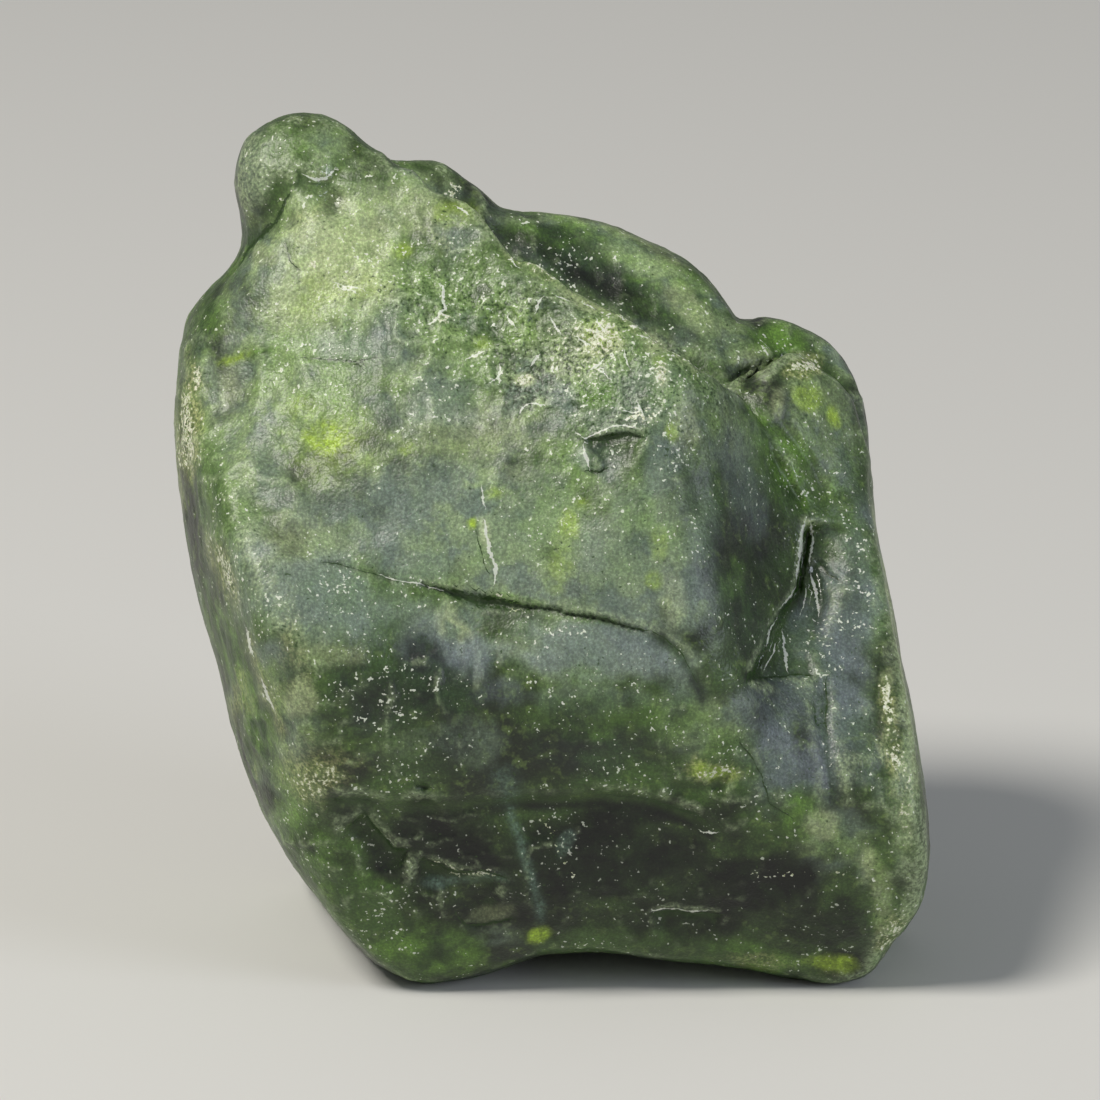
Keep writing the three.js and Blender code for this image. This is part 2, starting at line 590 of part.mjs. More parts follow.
function stoneGeometry() {
  let mesh = startMesh();
  for (let pass = 0; pass < SPLIT_PASSES; pass++) mesh = splitBends(mesh);
  const geometry = new THREE.BufferGeometry().setFromPoints(mesh.places);
  geometry.setIndex(mesh.triangles.flat());
  return geometry;
}

// ---------------------------------------------------------------- standing on its flats
// Turns the front frame upright: v becomes z and w becomes -y, with the stone's own lean.
function standUp(geometry) {
  const bedHeight = BED_V * Math.cos(LEAN) + BED_W * Math.sin(LEAN);
  geometry.rotateX(Math.PI / 2 - LEAN);
  geometry.translate(0, 0, -bedHeight);
}

const wasm = await Module();
wasm.setup();

function solidOf(geometry) {
  const bare = new THREE.BufferGeometry().setAttribute("position", geometry.getAttribute("position"));
  bare.setIndex(geometry.index);
  const merged = mergeVertices(bare, 1e-5);
  return new wasm.Manifold(
    new wasm.Mesh({
      numProp: 3,
      vertProperties: new Float32Array(merged.getAttribute("position").array),
      triVerts: new Uint32Array(merged.index.array),
    }),
  );
}

function geometryOf(solid) {
  const { vertProperties, triVerts } = solid.getMesh();
  const geometry = new THREE.BufferGeometry();
  geometry.setAttribute("position", new THREE.BufferAttribute(vertProperties, 3));
  geometry.setIndex(new THREE.BufferAttribute(triVerts, 1));
  geometry.computeVertexNormals();
  return geometry;
}

// Cuts the worn flats that the stone stands on: everything under the ground plane goes.
function cutFlats(geometry) {
  const size = 80;
  const ground = new THREE.BoxGeometry(size, size, size).translate(0, 0, -size / 2);
  return geometryOf(solidOf(geometry).subtract(solidOf(ground)));
}

// Puts the middle of the outside size over the origin.
function centre(geometry) {
  geometry.computeBoundingBox();
  const middle = geometry.boundingBox.getCenter(new THREE.Vector3());
  geometry.translate(-middle.x, -middle.y, 0);
}

const rough = stoneGeometry();
standUp(rough);
const stone = cutFlats(rough);
centre(stone);

const chromeDiopside = new THREE.MeshStandardMaterial({ color: 0x3f5a34, roughness: 0.5, metalness: 0 });
const crystal = new THREE.Mesh(stone, chromeDiopside);
crystal.name = "stone";

const part = new THREE.Group();
part.add(crystal);
export default part;
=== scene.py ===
# Raw chrome diopside: one lump of waxy green crystal that stands on the worn flats of its underside.

import math

import bpy
import numpy as np
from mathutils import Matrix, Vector


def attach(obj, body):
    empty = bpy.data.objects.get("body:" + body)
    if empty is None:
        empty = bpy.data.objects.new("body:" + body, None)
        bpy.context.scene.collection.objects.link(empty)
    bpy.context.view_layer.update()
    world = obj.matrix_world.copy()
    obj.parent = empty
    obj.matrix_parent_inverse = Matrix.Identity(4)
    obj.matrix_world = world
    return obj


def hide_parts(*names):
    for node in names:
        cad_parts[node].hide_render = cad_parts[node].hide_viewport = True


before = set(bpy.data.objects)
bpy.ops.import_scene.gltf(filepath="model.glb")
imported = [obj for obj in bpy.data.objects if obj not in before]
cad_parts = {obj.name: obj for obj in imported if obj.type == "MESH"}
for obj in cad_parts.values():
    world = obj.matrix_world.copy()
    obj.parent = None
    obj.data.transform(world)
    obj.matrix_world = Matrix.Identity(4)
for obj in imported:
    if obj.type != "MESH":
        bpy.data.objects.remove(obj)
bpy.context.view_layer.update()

# ---------------------------------------------------------------- the stone's form
# The real piece is one natural lump of chrome diopside: a broad cleaved front, a blunt knob at its top
# left, a shelf and two lobes behind the front's top right edge, and an arch between two worn feet.
# Its faces are flats of cleavage and fracture whose edges have been rubbed round.
#
# It is worked out in the stone's own front frame, in millimetres: u to the right, v up the face, w out
# of it. That frame leans back by LEAN. The skin is found by going out from HEART in straight lines.
LEAN = math.radians(18)
EYE_DISTANCE = 300.0  # outlines, routes and patches are drawn as seen from this far off
HEART = np.array((0.0, -1.0, -1.0))
BED_V, BED_W = -16.8, 3.0  # the front feet touch the ground here
SOLE_FACING = (0, -math.cos(LEAN), -math.sin(LEAN))
REACH = 26.0  # longer than any line from HEART to the skin
HALVINGS = 18  # of REACH, which finds the skin to a tenth of a micrometre
EDGE_ROUND = 0.5  # rounding where two faces of a block meet
SEAM_ROUND = 0.2  # in the valley where two blocks meet
RIM_ROUND = 0.35  # where the faces run into the outline
RIM_MARGIN = 0.1  # how far past the outline they start to turn

# Outline of the front, from the right-hand side down, along the underside, up the left and over the top.
OUTLINE = [
    (12.6, 0), (13.3, -3.9), (13.9, -6.8), (14.25, -8.8), (14.45, -11.5), (14.15, -13.5), (13.6, -14.4),
    (13, -15.1), (12.3, -16.2), (11.5, -16.75), (10.6, -16.9), (9.4, -16.6), (7.7, -16.15), (5.8, -15.85),
    (3.8, -15.6), (1.9, -15.35), (0, -15.45), (-1, -15.7), (-2.5, -16.3), (-3.8, -16.65), (-4.7, -16.75),
    (-5.6, -16.5), (-7.3, -15.2), (-8.8, -13.4), (-10.4, -11.1), (-11.5, -8.8), (-12.2, -6.6),
    (-12.7, -4.4), (-13.4, -2.3), (-13.8, -0.9), (-14.2, 1.5), (-14.45, 3.9), (-14.35, 6.5), (-13.9, 9),
    (-13.4, 9.8), (-12.4, 10.8), (-12, 11.6), (-11.95, 12.5), (-12.15, 13.6), (-12.1, 14.8), (-11.8, 15.9),
    (-11.2, 16.3), (-10.4, 16.7), (-9.6, 16.9), (-8.7, 16.85), (-7.9, 16.5), (-7.2, 15.8), (-6.7, 15.4),
    (-6.1, 15.2), (-5.6, 15.15), (-4.7, 15.2), (-4.2, 15.05), (-3.7, 14.6), (-2.7, 13.8), (-1.8, 13.1),
    (0, 12.9), (1.9, 12.6), (3.8, 11.8), (5.8, 10.7), (6.8, 9.5), (7.3, 8.85), (8.3, 9), (9.6, 8.65),
    (10.9, 7.8), (11.9, 6.3), (12.2, 5), (12.3, 2.9),
]
# Top right edge of the front mass, where it drops to the shelf, then the seam below it.
CREST = [
    (16, 0.8), (12.3, 1.2), (9.9, 1.3), (9.4, 1.6), (9, 2.3), (8.65, 2.9), (8.4, 3.85), (7.95, 5),
    (7.2, 5.95), (6.65, 6.25), (6.15, 6.65), (5.55, 6.95), (4.9, 7.45), (4.1, 7.95), (3.25, 8.65),
    (2.35, 9.2), (1.45, 9.7), (0.6, 10.2), (-0.4, 10.9), (-1.3, 11.2), (-1.95, 11.9), (-2.65, 12.8),
    (-3.25, 13.35), (-3.9, 13.6), (-4.5, 13.8), (-5.4, 14.65), (-6.3, 15.15), (-7.3, 17), (-16, 26),
]
# Top edge of the right-hand lobe, in front of the lobe behind it.
LOBE_CREST = [
    (20, -16), (18, 0), (12.6, 4.2), (11.7, 5.8), (11.1, 6.5), (10.5, 6.9), (9.9, 7.3), (9.1, 7.45),
    (8.5, 7.4), (8, 7), (7.5, 6.5), (6.9, 6.4), (6, 8), (0, 12), (-16, 24),
]
# Faces, each through a point and looking along a direction. HULL bounds all but the knob.
HULL = [
    ((-1, -6, 10), (0.02, -0.42, 1)),  # belly
    ((0, -9.5, 8.4), (0.02, -0.76, 1)),  # under the belly
    ((-9.5, -11, 5.8), (-0.8, -0.45, 0.6)),  # lower left
    ((-13.5, -1, 3.2), (-1, -0.18, 0.28)),  # left flank
    ((-12, 1, -4.5), (-0.9, 0.05, -0.5)),  # left rear
    ((12.9, -5, -3.5), (0.95, 0.12, -0.4)),  # right rear
    ((9.8, 1, -7.6), (0.62, 0.22, -0.75)),  # right back edge
    ((0, -1, -10.2), (0.08, 0.2, -1)),  # back
    ((-7.5, -2, -9.2), (-0.42, -0.05, -0.9)),  # back left
    ((2, -9, -10.9), (0.1, -0.22, -1)),  # back foot
    ((0, 8.8, -6.9), (0.05, 0.72, -0.7)),  # upper back
    ((-8, 8.5, -4.6), (-0.45, 0.6, -0.7)),  # upper back left
    ((0, BED_V - 0.4, BED_W), SOLE_FACING),  # sole
]
FRONT_MASS = {
    "round": EDGE_ROUND,
    "crest": CREST,
    "margin": 0.45,
    "lean": 0.45,
    "faces": [
        ((-4, 3, 9.4), (-0.1, 0.4, 1)),  # upper front
        ((-1, -3, 9.9), (-0.04, 0.04, 1)),  # middle front
        ((-10.5, 1, 7.7), (-0.55, 0.12, 1)),  # left front
        ((9.5, -1, 5.2), (0.78, 0.17, 0.62)),  # right side
        ((-12.4, 11, 2.5), (-0.75, 0.62, 0.3)),  # left shoulder
        ((-7, 15.6, 2), (-0.1, 0.9, 0.1)),  # top left
    ],
}
REAR_MASS = {
    "round": EDGE_ROUND,
    "faces": [
        ((3, 10.5, 1.4), (0.26, 0.46, 1)),  # shelf
        ((-3.6, 14.3, 3.2), (-0.35, 0.6, 0.8)),  # hump
        ((1.5, 13.7, -1.5), (0.3, 0.95, -0.15)),  # top
        ((7.2, 9.6, -1), (0.8, 0.62, 0.1)),  # slope
    ],
}
RIGHT_LOBE = {
    "round": 0.35,
    "crest": LOBE_CREST,
    "margin": 0.29,
    "lean": 0.4,
    "faces": [
        ((9.7, 4.6, 3.5), (0.6, 0.24, 0.78)),  # face
        ((8, 5.6, 3.9), (-0.45, 0.2, 0.85)),  # face left
        ((9.4, 6.6, 3), (0.2, 0.75, 0.7)),  # face top
        ((9, -1, 4.2), (0.3, -0.7, 0.6)),  # underneath
    ],
}
RIGHT_REAR_LOBE = {
    "round": 0.35,
    "faces": [
        ((9.5, 8, -0.3), (0.3, 0.4, 1)),  # face
        ((9.5, 9.1, -2), (0.3, 0.95, -0.2)),  # top
        ((7.2, 8.9, -2), (-0.6, 0.75, 0.2)),  # left end
    ],
}
KNOB_FROM, KNOB_TO = np.array((-5, 5, 0), float), np.array((-9.55, 14.1, 2), float)
KNOB_RADII = (5, 2.75)


def unit(vector):
    return np.asarray(vector, float) / np.linalg.norm(vector)


def smoothstep(x, low, high):
    t = np.clip((x - low) / (high - low), 0.0, 1.0)
    return t * t * (3 - 2 * t)


def soft_max(values, rounding):
    stack = np.stack(values)
    most = stack.max(axis=0)
    return most + rounding * np.log(np.exp((stack - most) / rounding).sum(axis=0))


def soft_min(values, rounding):
    return -soft_max([-value for value in values], rounding)


def past_outline(points):
    """Gives a function for how far (u, v) lies past a closed outline, seen once in every bearing."""
    turn = 2 * math.pi
    points = np.array(points, float)
    bearings = np.arctan2(points[:, 1], points[:, 0]) % turn
    order = np.argsort(bearings)
    radii = np.hypot(points[:, 0], points[:, 1])[order]
    bearings = np.concatenate((bearings[order][-2:] - turn, bearings[order], bearings[order][:3] + turn))
    radii = np.concatenate((radii[-2:], radii, radii[:3]))
    slopes = np.zeros(len(radii))
    slopes[1:-1] = (radii[2:] - radii[:-2]) / (bearings[2:] - bearings[:-2])

    def past(u, v):
        bearing = np.arctan2(v, u) % turn
        n = np.searchsorted(bearings, bearing, side="right") - 1
        width = bearings[n + 1] - bearings[n]
        t = (bearing - bearings[n]) / width
        s = 1 - t
        radius = radii[n] * s * s * (1 + 2 * t) + radii[n + 1] * t * t * (1 + 2 * s)
        radius += width * t * s * (slopes[n] * s - slopes[n + 1] * t)
        return np.hypot(u, v) - radius

    return past


def past_faces(faces, p, rounding):
    return soft_max([(p - np.array(at, float)) @ unit(facing) for at, facing in faces], rounding)


past_stone_outline = past_outline(OUTLINE)
BLOCKS = [
    (block, past_outline(block["crest"]) if "crest" in block else None)
    for block in (FRONT_MASS, REAR_MASS, RIGHT_LOBE, RIGHT_REAR_LOBE)
]


def form(p):
    """Below zero inside the stone and above zero outside it."""
    nearness = EYE_DISTANCE / (EYE_DISTANCE - p[:, 2])
    u, v = p[:, 0] * nearness, p[:, 1] * nearness
    lumps = []
    for block, past_crest in BLOCKS:
        past = past_faces(block["faces"], p, block["round"])
        if past_crest:
            fallen = past_crest(u, v) - block["margin"] - block["lean"] * np.minimum(past, 0)
            past = soft_max([past, fallen], block["round"])
        lumps.append(past)
    body = soft_max([soft_min(lumps, SEAM_ROUND), past_faces(HULL, p, EDGE_ROUND)], EDGE_ROUND)
    axis = KNOB_TO - KNOB_FROM
    along = np.clip((p - KNOB_FROM) @ axis / (axis @ axis), 0, 1)
    middle = KNOB_FROM + along[:, None] * axis
    radius = KNOB_RADII[0] + along * (KNOB_RADII[1] - KNOB_RADII[0])
    knob = np.linalg.norm(p - middle, axis=1) - radius
    return soft_max([soft_min([body, knob], RIM_ROUND), past_stone_outline(u, v) - RIM_MARGIN], RIM_ROUND)


def lattice_value(i, j, k):
    h = (i * np.uint32(0x27D4EB2D)) ^ (j * np.uint32(0x165667B1)) ^ (k * np.uint32(0x9E3779B1))
    h = (h ^ (h >> np.uint32(15))) * np.uint32(0x85EBCA6B)
    h = (h ^ (h >> np.uint32(13))) * np.uint32(0xC2B2AE35)
    return (h ^ (h >> np.uint32(16))) / 2147483648.0 - 1.0


def noise(p):
    """Smooth noise from -1 to 1 that changes over about one unit of length. A shift gives another one."""
    cell = np.floor(p)
    a, b, c = (p - cell).T
    a, b, c = (t * t * t * (t * (6 * t - 15) + 10) for t in (a, b, c))
    i, j, k = cell.astype(np.int64).astype(np.uint32).T
    one = np.uint32(1)

    def along(j1, k1):
        low, high = lattice_value(i, j1, k1), lattice_value(i + one, j1, k1)
        return low + (high - low) * a

    near = along(j, k) * (1 - b) + along(j + one, k) * b
    far = along(j, k + one) * (1 - b) + along(j + one, k + one) * b
    return near + (far - near) * c


def ball_of_directions(rings):
    """Directions over the whole sphere, as the corners of 20 * rings ** 2 even triangles."""
    g = (1 + math.sqrt(5)) / 2
    corners = [(-1, g, 0), (1, g, 0), (-1, -g, 0), (1, -g, 0), (0, -1, g), (0, 1, g),
               (0, -1, -g), (0, 1, -g), (g, 0, -1), (g, 0, 1), (-g, 0, -1), (-g, 0, 1)]
    faces = [(0, 11, 5), (0, 5, 1), (0, 1, 7), (0, 7, 10), (0, 10, 11), (1, 5, 9), (5, 11, 4),
             (11, 10, 2), (10, 7, 6), (7, 1, 8), (3, 9, 4), (3, 4, 2), (3, 2, 6), (3, 6, 8),
             (3, 8, 9), (4, 9, 5), (2, 4, 11), (6, 2, 10), (8, 6, 7), (9, 8, 1)]
    steps = [(i, j) for i in range(rings + 1) for j in range(rings + 1 - i)]
    place = {step: n for n, step in enumerate(steps)}
    shares = np.array([(rings - i - j, i, j) for i, j in steps]) / rings
    ups = [((i, j), (i + 1, j), (i, j + 1)) for i, j in steps if i + j < rings]
    downs = [((i + 1, j), (i + 1, j + 1), (i, j + 1)) for i, j in steps if i + j < rings - 1]
    cells = np.array([[place[step] for step in cell] for cell in ups + downs])
    points = np.concatenate([shares @ np.array([corners[c] for c in face], float) for face in faces])
    triangles = np.concatenate([cells + n * len(steps) for n in range(len(faces))])
    points /= np.linalg.norm(points, axis=1)[:, None]
    _, first, merged = np.unique(points.round(6), axis=0, return_index=True, return_inverse=True)
    return points[first], merged.reshape(-1)[triangles]


# The directions crowd towards the front, which has the finest relief.
MESH_RINGS = 98
MESH_STRETCH = np.array((14.0, 16.5, 11.5))
FRONT_CROWDING = 0.32
directions, triangles = ball_of_directions(MESH_RINGS)
directions = directions + (0, 0, FRONT_CROWDING)
directions /= np.linalg.norm(directions, axis=1)[:, None]
directions *= MESH_STRETCH
directions /= np.linalg.norm(directions, axis=1)[:, None]
inside = np.zeros(len(directions))
outside = np.full(len(directions), REACH)
for _ in range(HALVINGS):
    middle = (inside + outside) / 2
    is_inside = form(HEART + directions * middle[:, None]) < 0
    inside = np.where(is_inside, middle, inside)
    outside = np.where(is_inside, outside, middle)
skin = HEART + directions * middle[:, None]
facing = np.stack([form(skin + step) - form(skin - step) for step in 0.05 * np.eye(3)], axis=1)
facing /= np.linalg.norm(facing, axis=1)[:, None]

# Slow swells of the worn skin: wavelength and height. They are weak where the skin is seen edge on from
# the front, so that the outline stays.
SWELLS = [(9, 0.38), (4.2, 0.2), (2, 0.08)]
SWELL_AT_OUTLINE = 0.2
off_outline = smoothstep(np.abs(facing[:, 2]), 0.1, 0.6)
swell = sum(height * noise(skin / wave + (7.3, 2.1, 4.7)) for wave, height in SWELLS)
swell *= SWELL_AT_OUTLINE + (1 - SWELL_AT_OUTLINE) * off_outline
skin = skin + facing * swell[:, None]

# ---------------------------------------------------------------- the stone's relief
# Cleavage has broken away in shallow steps, and crystals have left grooves and dishes. Relief is drawn
# on one side of the stone: its directions to the right, up and out, and where it fades out round a bend.
SIDES = {
    "front": ((1, 0, 0), (0, 1, 0), (0, 0, 1), -0.1, 0.25),
    "back": ((-1, 0, 0), (0, 1, 0), (0, 0, -1), 0.1, 0.5),
    "left": ((0, 0, 1), (0, 1, 0), (-1, 0, 0), 0.4, 0.8),
    "right": ((0, 0, -1), (0, 1, 0), (1, 0, 0), 0.45, 0.7),
    "under": ((1, 0, 0), (0, math.sin(LEAN), -math.cos(LEAN)), SOLE_FACING, 0.6, 0.9),
}
seen = {}
drawn = {}
# What is drawn strays by up to a tenth of a millimetre, as broken edges do.
stray = [0.07 * noise(skin / 0.9 + shift) + 0.035 * noise(skin / 0.3 + shift) for shift in (40.0, 60.0)]
for side, (to_right, up, out, low, high) in SIDES.items():
    nearness = EYE_DISTANCE / (EYE_DISTANCE - skin @ np.array(out, float))
    drawn[side] = (
        skin @ np.array(to_right, float) * nearness + stray[0],
        skin @ np.array(up, float) * nearness + stray[1],
    )
    seen[side] = smoothstep(facing @ np.array(out, float), low, high)
# On the front, the crest parts high ground from the shelf, which is low ground behind it.
for side, low, high in (("shelf", 5.5, 4.0), ("crest", 4.0, 5.5)):
    drawn[side] = drawn["front"]
    seen[side] = seen["front"] * smoothstep(skin[:, 2], low, high)


def legs(route, u, v):
    """Goes along a route leg by leg: its ends and length, how far along it the nearest spot lies, from
    0 to 1, the distance from there, and that distance with a minus to the left."""
    for start, end in zip(route, route[1:]):
        du, dv = end[0] - start[0], end[1] - start[1]
        length = math.hypot(du, dv)
        t = np.clip(((u - start[0]) * du + (v - start[1]) * dv) / length**2, 0, 1)
        ou, ov = u - start[0] - t * du, v - start[1] - t * dv
        distance = np.hypot(ou, ov)
        yield start, end, length, t, distance, np.where(ou * dv < ov * du, -distance, distance)


def near_route(route, u, v):
    """Distance to the route, the same with a sign for the side of it, and the walk to its nearer end."""
    best = np.full(len(u), np.inf)
    to_right = np.zeros(len(u))
    walk = np.zeros(len(u))
    walked = 0.0
    for _, _, length, t, distance, signed in legs(route, u, v):
        nearer = distance < best
        best = np.where(nearer, distance, best)
        to_right = np.where(nearer, signed, to_right)
        walk = np.where(nearer, walked + t * length, walk)
        walked += length
    return best, to_right, np.minimum(walk, walked - walk)


# Ledges: side, drop, width over which the ground comes back up, sharpness, run-out, route.
LEDGES = [
    # lower edge of the belly
    ("front", 0.36, 3.2, 0.35, 3, [(-10.2, -9.7), (-8.2, -9.6), (-7, -9.55), (-6.4, -9.75), (-3.9, -9.7),
        (-2.5, -9.5), (0, -9.5), (1.9, -9.4), (2.6, -9.35), (3.9, -9.6), (4.9, -9.9), (5.9, -10.35),
        (6.5, -10.75), (7.6, -11.5)]),
    # lip above the lower edge
    ("front", 0.22, 1.2, 0.15, 0.8, [(4.2, -8.8), (5, -8.95), (6.1, -8.9), (6.9, -8.6), (7.3, -8.9)]),
    # long front crack
    ("front", 0.16, 1.4, 0.1, 3.5, [(-6.8, -0.8), (-5.9, -1.05), (-5.3, -1.2), (-4.5, -1.45), (-3.1, -1.9),
        (-1.9, -2.05), (-0.8, -2.15), (0.4, -2.35), (1.6, -2.55), (2.9, -2.85), (3.9, -3.15), (4.6, -3.45),
        (5.2, -3.9), (5.7, -4.6), (6.1, -5.5)]),
    # run-out of the long crack
    ("front", 0.05, 1.2, 0.14, 1, [(5.5, -4.3), (6.1, -5.5), (6.8, -6.3), (7.4, -7.4), (8.1, -8.7),
        (8.5, -9.8)]),
    # right-hand flake
    ("front", 0.65, 2.1, 0.1, 0.5, [(7.6, -5), (8, -4.3), (8.4, -3.6), (8.9, -2.7), (9.45, -1.6),
        (9.65, -0.9), (9.75, 0.3), (9.85, 1.2)]),
    # foot of the flake
    ("front", 0.16, 1.1, 0.15, 0.4, [(10.3, -4.75), (9.3, -4.8), (8.4, -4.95), (7.7, -5)]),
    # left-hand strip
    ("front", 0.6, 2, 0.3, 3, [(-12.9, 0.4), (-12.4, -1.2), (-11.95, -2.8), (-11.6, -3.8), (-11.2, -5.2),
        (-10.7, -6.7), (-10.45, -7.7), (-9.9, -8.7), (-9.6, -9.6)]),
    # notch in the upper front
    ("front", 0.25, 1.5, 0.2, 0.5, [(1.15, 3.9), (1.5, 4.2), (2.3, 4.4), (3.4, 4.45), (3.8, 4.2)]),
    # lower left step
    ("front", 0.5, 2, 0.2, 0.5, [(-7.3, -9.9), (-6.5, -11), (-6.1, -11.5), (-5.3, -11.6)]),
    # step in the left shoulder
    ("front", 0.1, 2.4, 0.25, 0.8, [(-13.3, 7.1), (-12, 7.6), (-10.8, 7.7), (-9.4, 7.2)]),
    # ledge over the right foot
    ("front", 0.3, 1.4, 0.2, 0.6, [(3.8, -14.1), (4.7, -13.85), (5.4, -14), (6.8, -13.95)]),
    # chip edge of the knob
    ("front", 0.22, 0.8, 0.12, 0.3, [(-9.75, 14.65), (-9.2, 14.3), (-8.6, 14.35), (-8.1, 14.9)]),
    # ledge over the left foot
    ("front", 0.4, 1.7, 0.2, 0.7, [(-5.2, -11.9), (-4, -12.3), (-3.3, -12.5), (-1.7, -12.7)]),
    # high cleavage step
    ("back", 0.65, 8, 0.35, 3, [(-13, 5.4), (-9.5, 3.4), (-6.5, 3.9), (-3.2, 2.3), (0.5, 2.7), (3.4, 0.9),
        (6.8, 1.3), (9.2, -0.3), (13, -0.6)]),
    # low cleavage step
    ("back", 0.5, 7, 0.35, 3, [(-13, -6.5), (-9, -6.9), (-5.9, -6.2), (-1.6, -8), (2.6, -7.7), (5.6, -9.6),
        (9, -10)]),
    # upright cleavage step
    ("back", 0.6, 7, 0.3, 2, [(5.4, 11), (4.6, 7.6), (5.2, 4.6), (4.2, 1.2)]),
    # step of the right side
    ("right", 0.5, 6, 0.3, 2, [(-2, 3.9), (0.8, 2.3), (3, 2.8), (5.6, 1.2), (9, 1.2)]),
    # upright step of the right side
    ("right", 0.45, 5, 0.3, 2.5, [(3.2, 0), (2.4, -4.6), (3.3, -8.4), (2.7, -13)]),
    # step of the left side
    ("left", 0.5, 7, 0.35, 2.5, [(-10, 0.8), (-7.4, -0.8), (-4.8, -0.4), (-2.6, -2.6), (-0.6, -5.4)]),
]
# Furrows: side, depth, width, run-out, route.
FURROWS = [
    # neck of the knob
    ("front", 0.35, 0.5, 1, [(-10.1, 14.6), (-10.7, 13.2), (-11.4, 12), (-12, 10.9)]),
    # fork of the neck
    ("front", 0.2, 0.3, 0.6, [(-11.5, 11.7), (-10.2, 12.5), (-9.6, 13.1)]),
    # seam of the lobe
    ("front", 0.3, 0.24, 0.6, [(7.15, 5.9), (7.8, 4.9), (8.55, 3.5), (8.9, 2.85), (9.4, 2.1), (9.9, 1.4)]),
    # right-hand furrow
    ("front", 0.3, 0.5, 1, [(5.1, 4.9), (5.5, 3), (5.8, 1)]),
    # second seam of the lobe
    ("front", 0.28, 0.28, 1, [(8.4, 5.4), (9.4, 4.1), (10.1, 3.1), (10.9, 1.6)]),
    # grain of the right side
    ("front", 0.2, 0.3, 1.2, [(10.3, -4.6), (10.6, -7.6), (11, -10.4)]),
    # short crack by the flake
    ("front", 0.25, 0.25, 0.8, [(10.2, -0.2), (10.4, -1.8), (10.3, -3.4)]),
    # grain of the upper back
    ("back", 0.35, 0.6, 2.5, [(-4.6, 11.4), (-3.2, 7.8), (-3.9, 4), (-3.3, 1.6)]),
    # grain of the lower back
    ("back", 0.3, 0.5, 2.5, [(-2.4, 1.6), (-2, -2.4), (-3, -6.8)]),
]
# Hollows: side, depth, radius, middle.
HOLLOWS = [
    ("front", 0.45, 0.6, (-8.35, 13.4)),  # dimple under the knob
    ("front", 0.12, 0.45, (-10.6, 15.2)),  # pit of the knob
    ("front", 0.45, 0.5, (7.7, 6.6)),  # pit at the end of the crest
    ("front", 0.3, 0.8, (-2.6, -13.8)),  # pocket by the left foot
    ("front", 0.3, 0.7, (-11.3, 1.7)),  # chip of the left shoulder
    ("front", 0.2, 0.7, (-6.6, 1.1)),  # dent in the middle
    ("back", 0.55, 2.4, (4.6, -4.4)),  # dish in the back
    ("back", 0.4, 1.3, (-7.2, -1.4)),  # small dish in the back
    ("back", 0.4, 1.1, (8.6, 5.6)),  # chip of the back edge
    ("left", 0.35, 1.5, (-4.2, 0.6)),  # dish in the left side
    ("under", 1.9, 5.5, (2.4, 0)),  # arch of the underside
]
# Relief on the front sinks straight back, so that it stays where it is drawn; the rest sinks inwards.
sunk = {side: np.zeros(len(skin)) for side in SIDES}
lip = np.zeros(len(skin))
LIP_SHIFT, LIP_WIDTH = 0.1, 0.16  # painted shade: the dark green line at the foot of a ledge
FULL_LIP_DROP = 0.4
for side, drop, fade, edge, taper, route in LEDGES:
    _, to_right, from_end = near_route(route, *drawn[side])
    step = smoothstep(to_right, -edge, edge) * (1 - smoothstep(to_right, edge, fade))
    held = seen[side] * smoothstep(from_end, 0, taper)
    sunk[side] += drop * step * held
    rim = np.exp(-(((to_right - LIP_SHIFT) / LIP_WIDTH) ** 2))
    lip = np.maximum(lip, held * rim * min(1, drop / FULL_LIP_DROP))
for side, depth, width, taper, route in FURROWS:
    distance, _, from_end = near_route(route, *drawn[side])
    groove = seen[side] * np.exp(-((distance / width) ** 2)) * smoothstep(from_end, 0, taper)
    sunk[side] += depth * groove
for side, depth, radius, (hu, hv) in HOLLOWS:
    u, v = drawn[side]
    sunk[side] += seen[side] * depth * np.exp(-((np.hypot(u - hu, v - hv) / radius) ** 2))

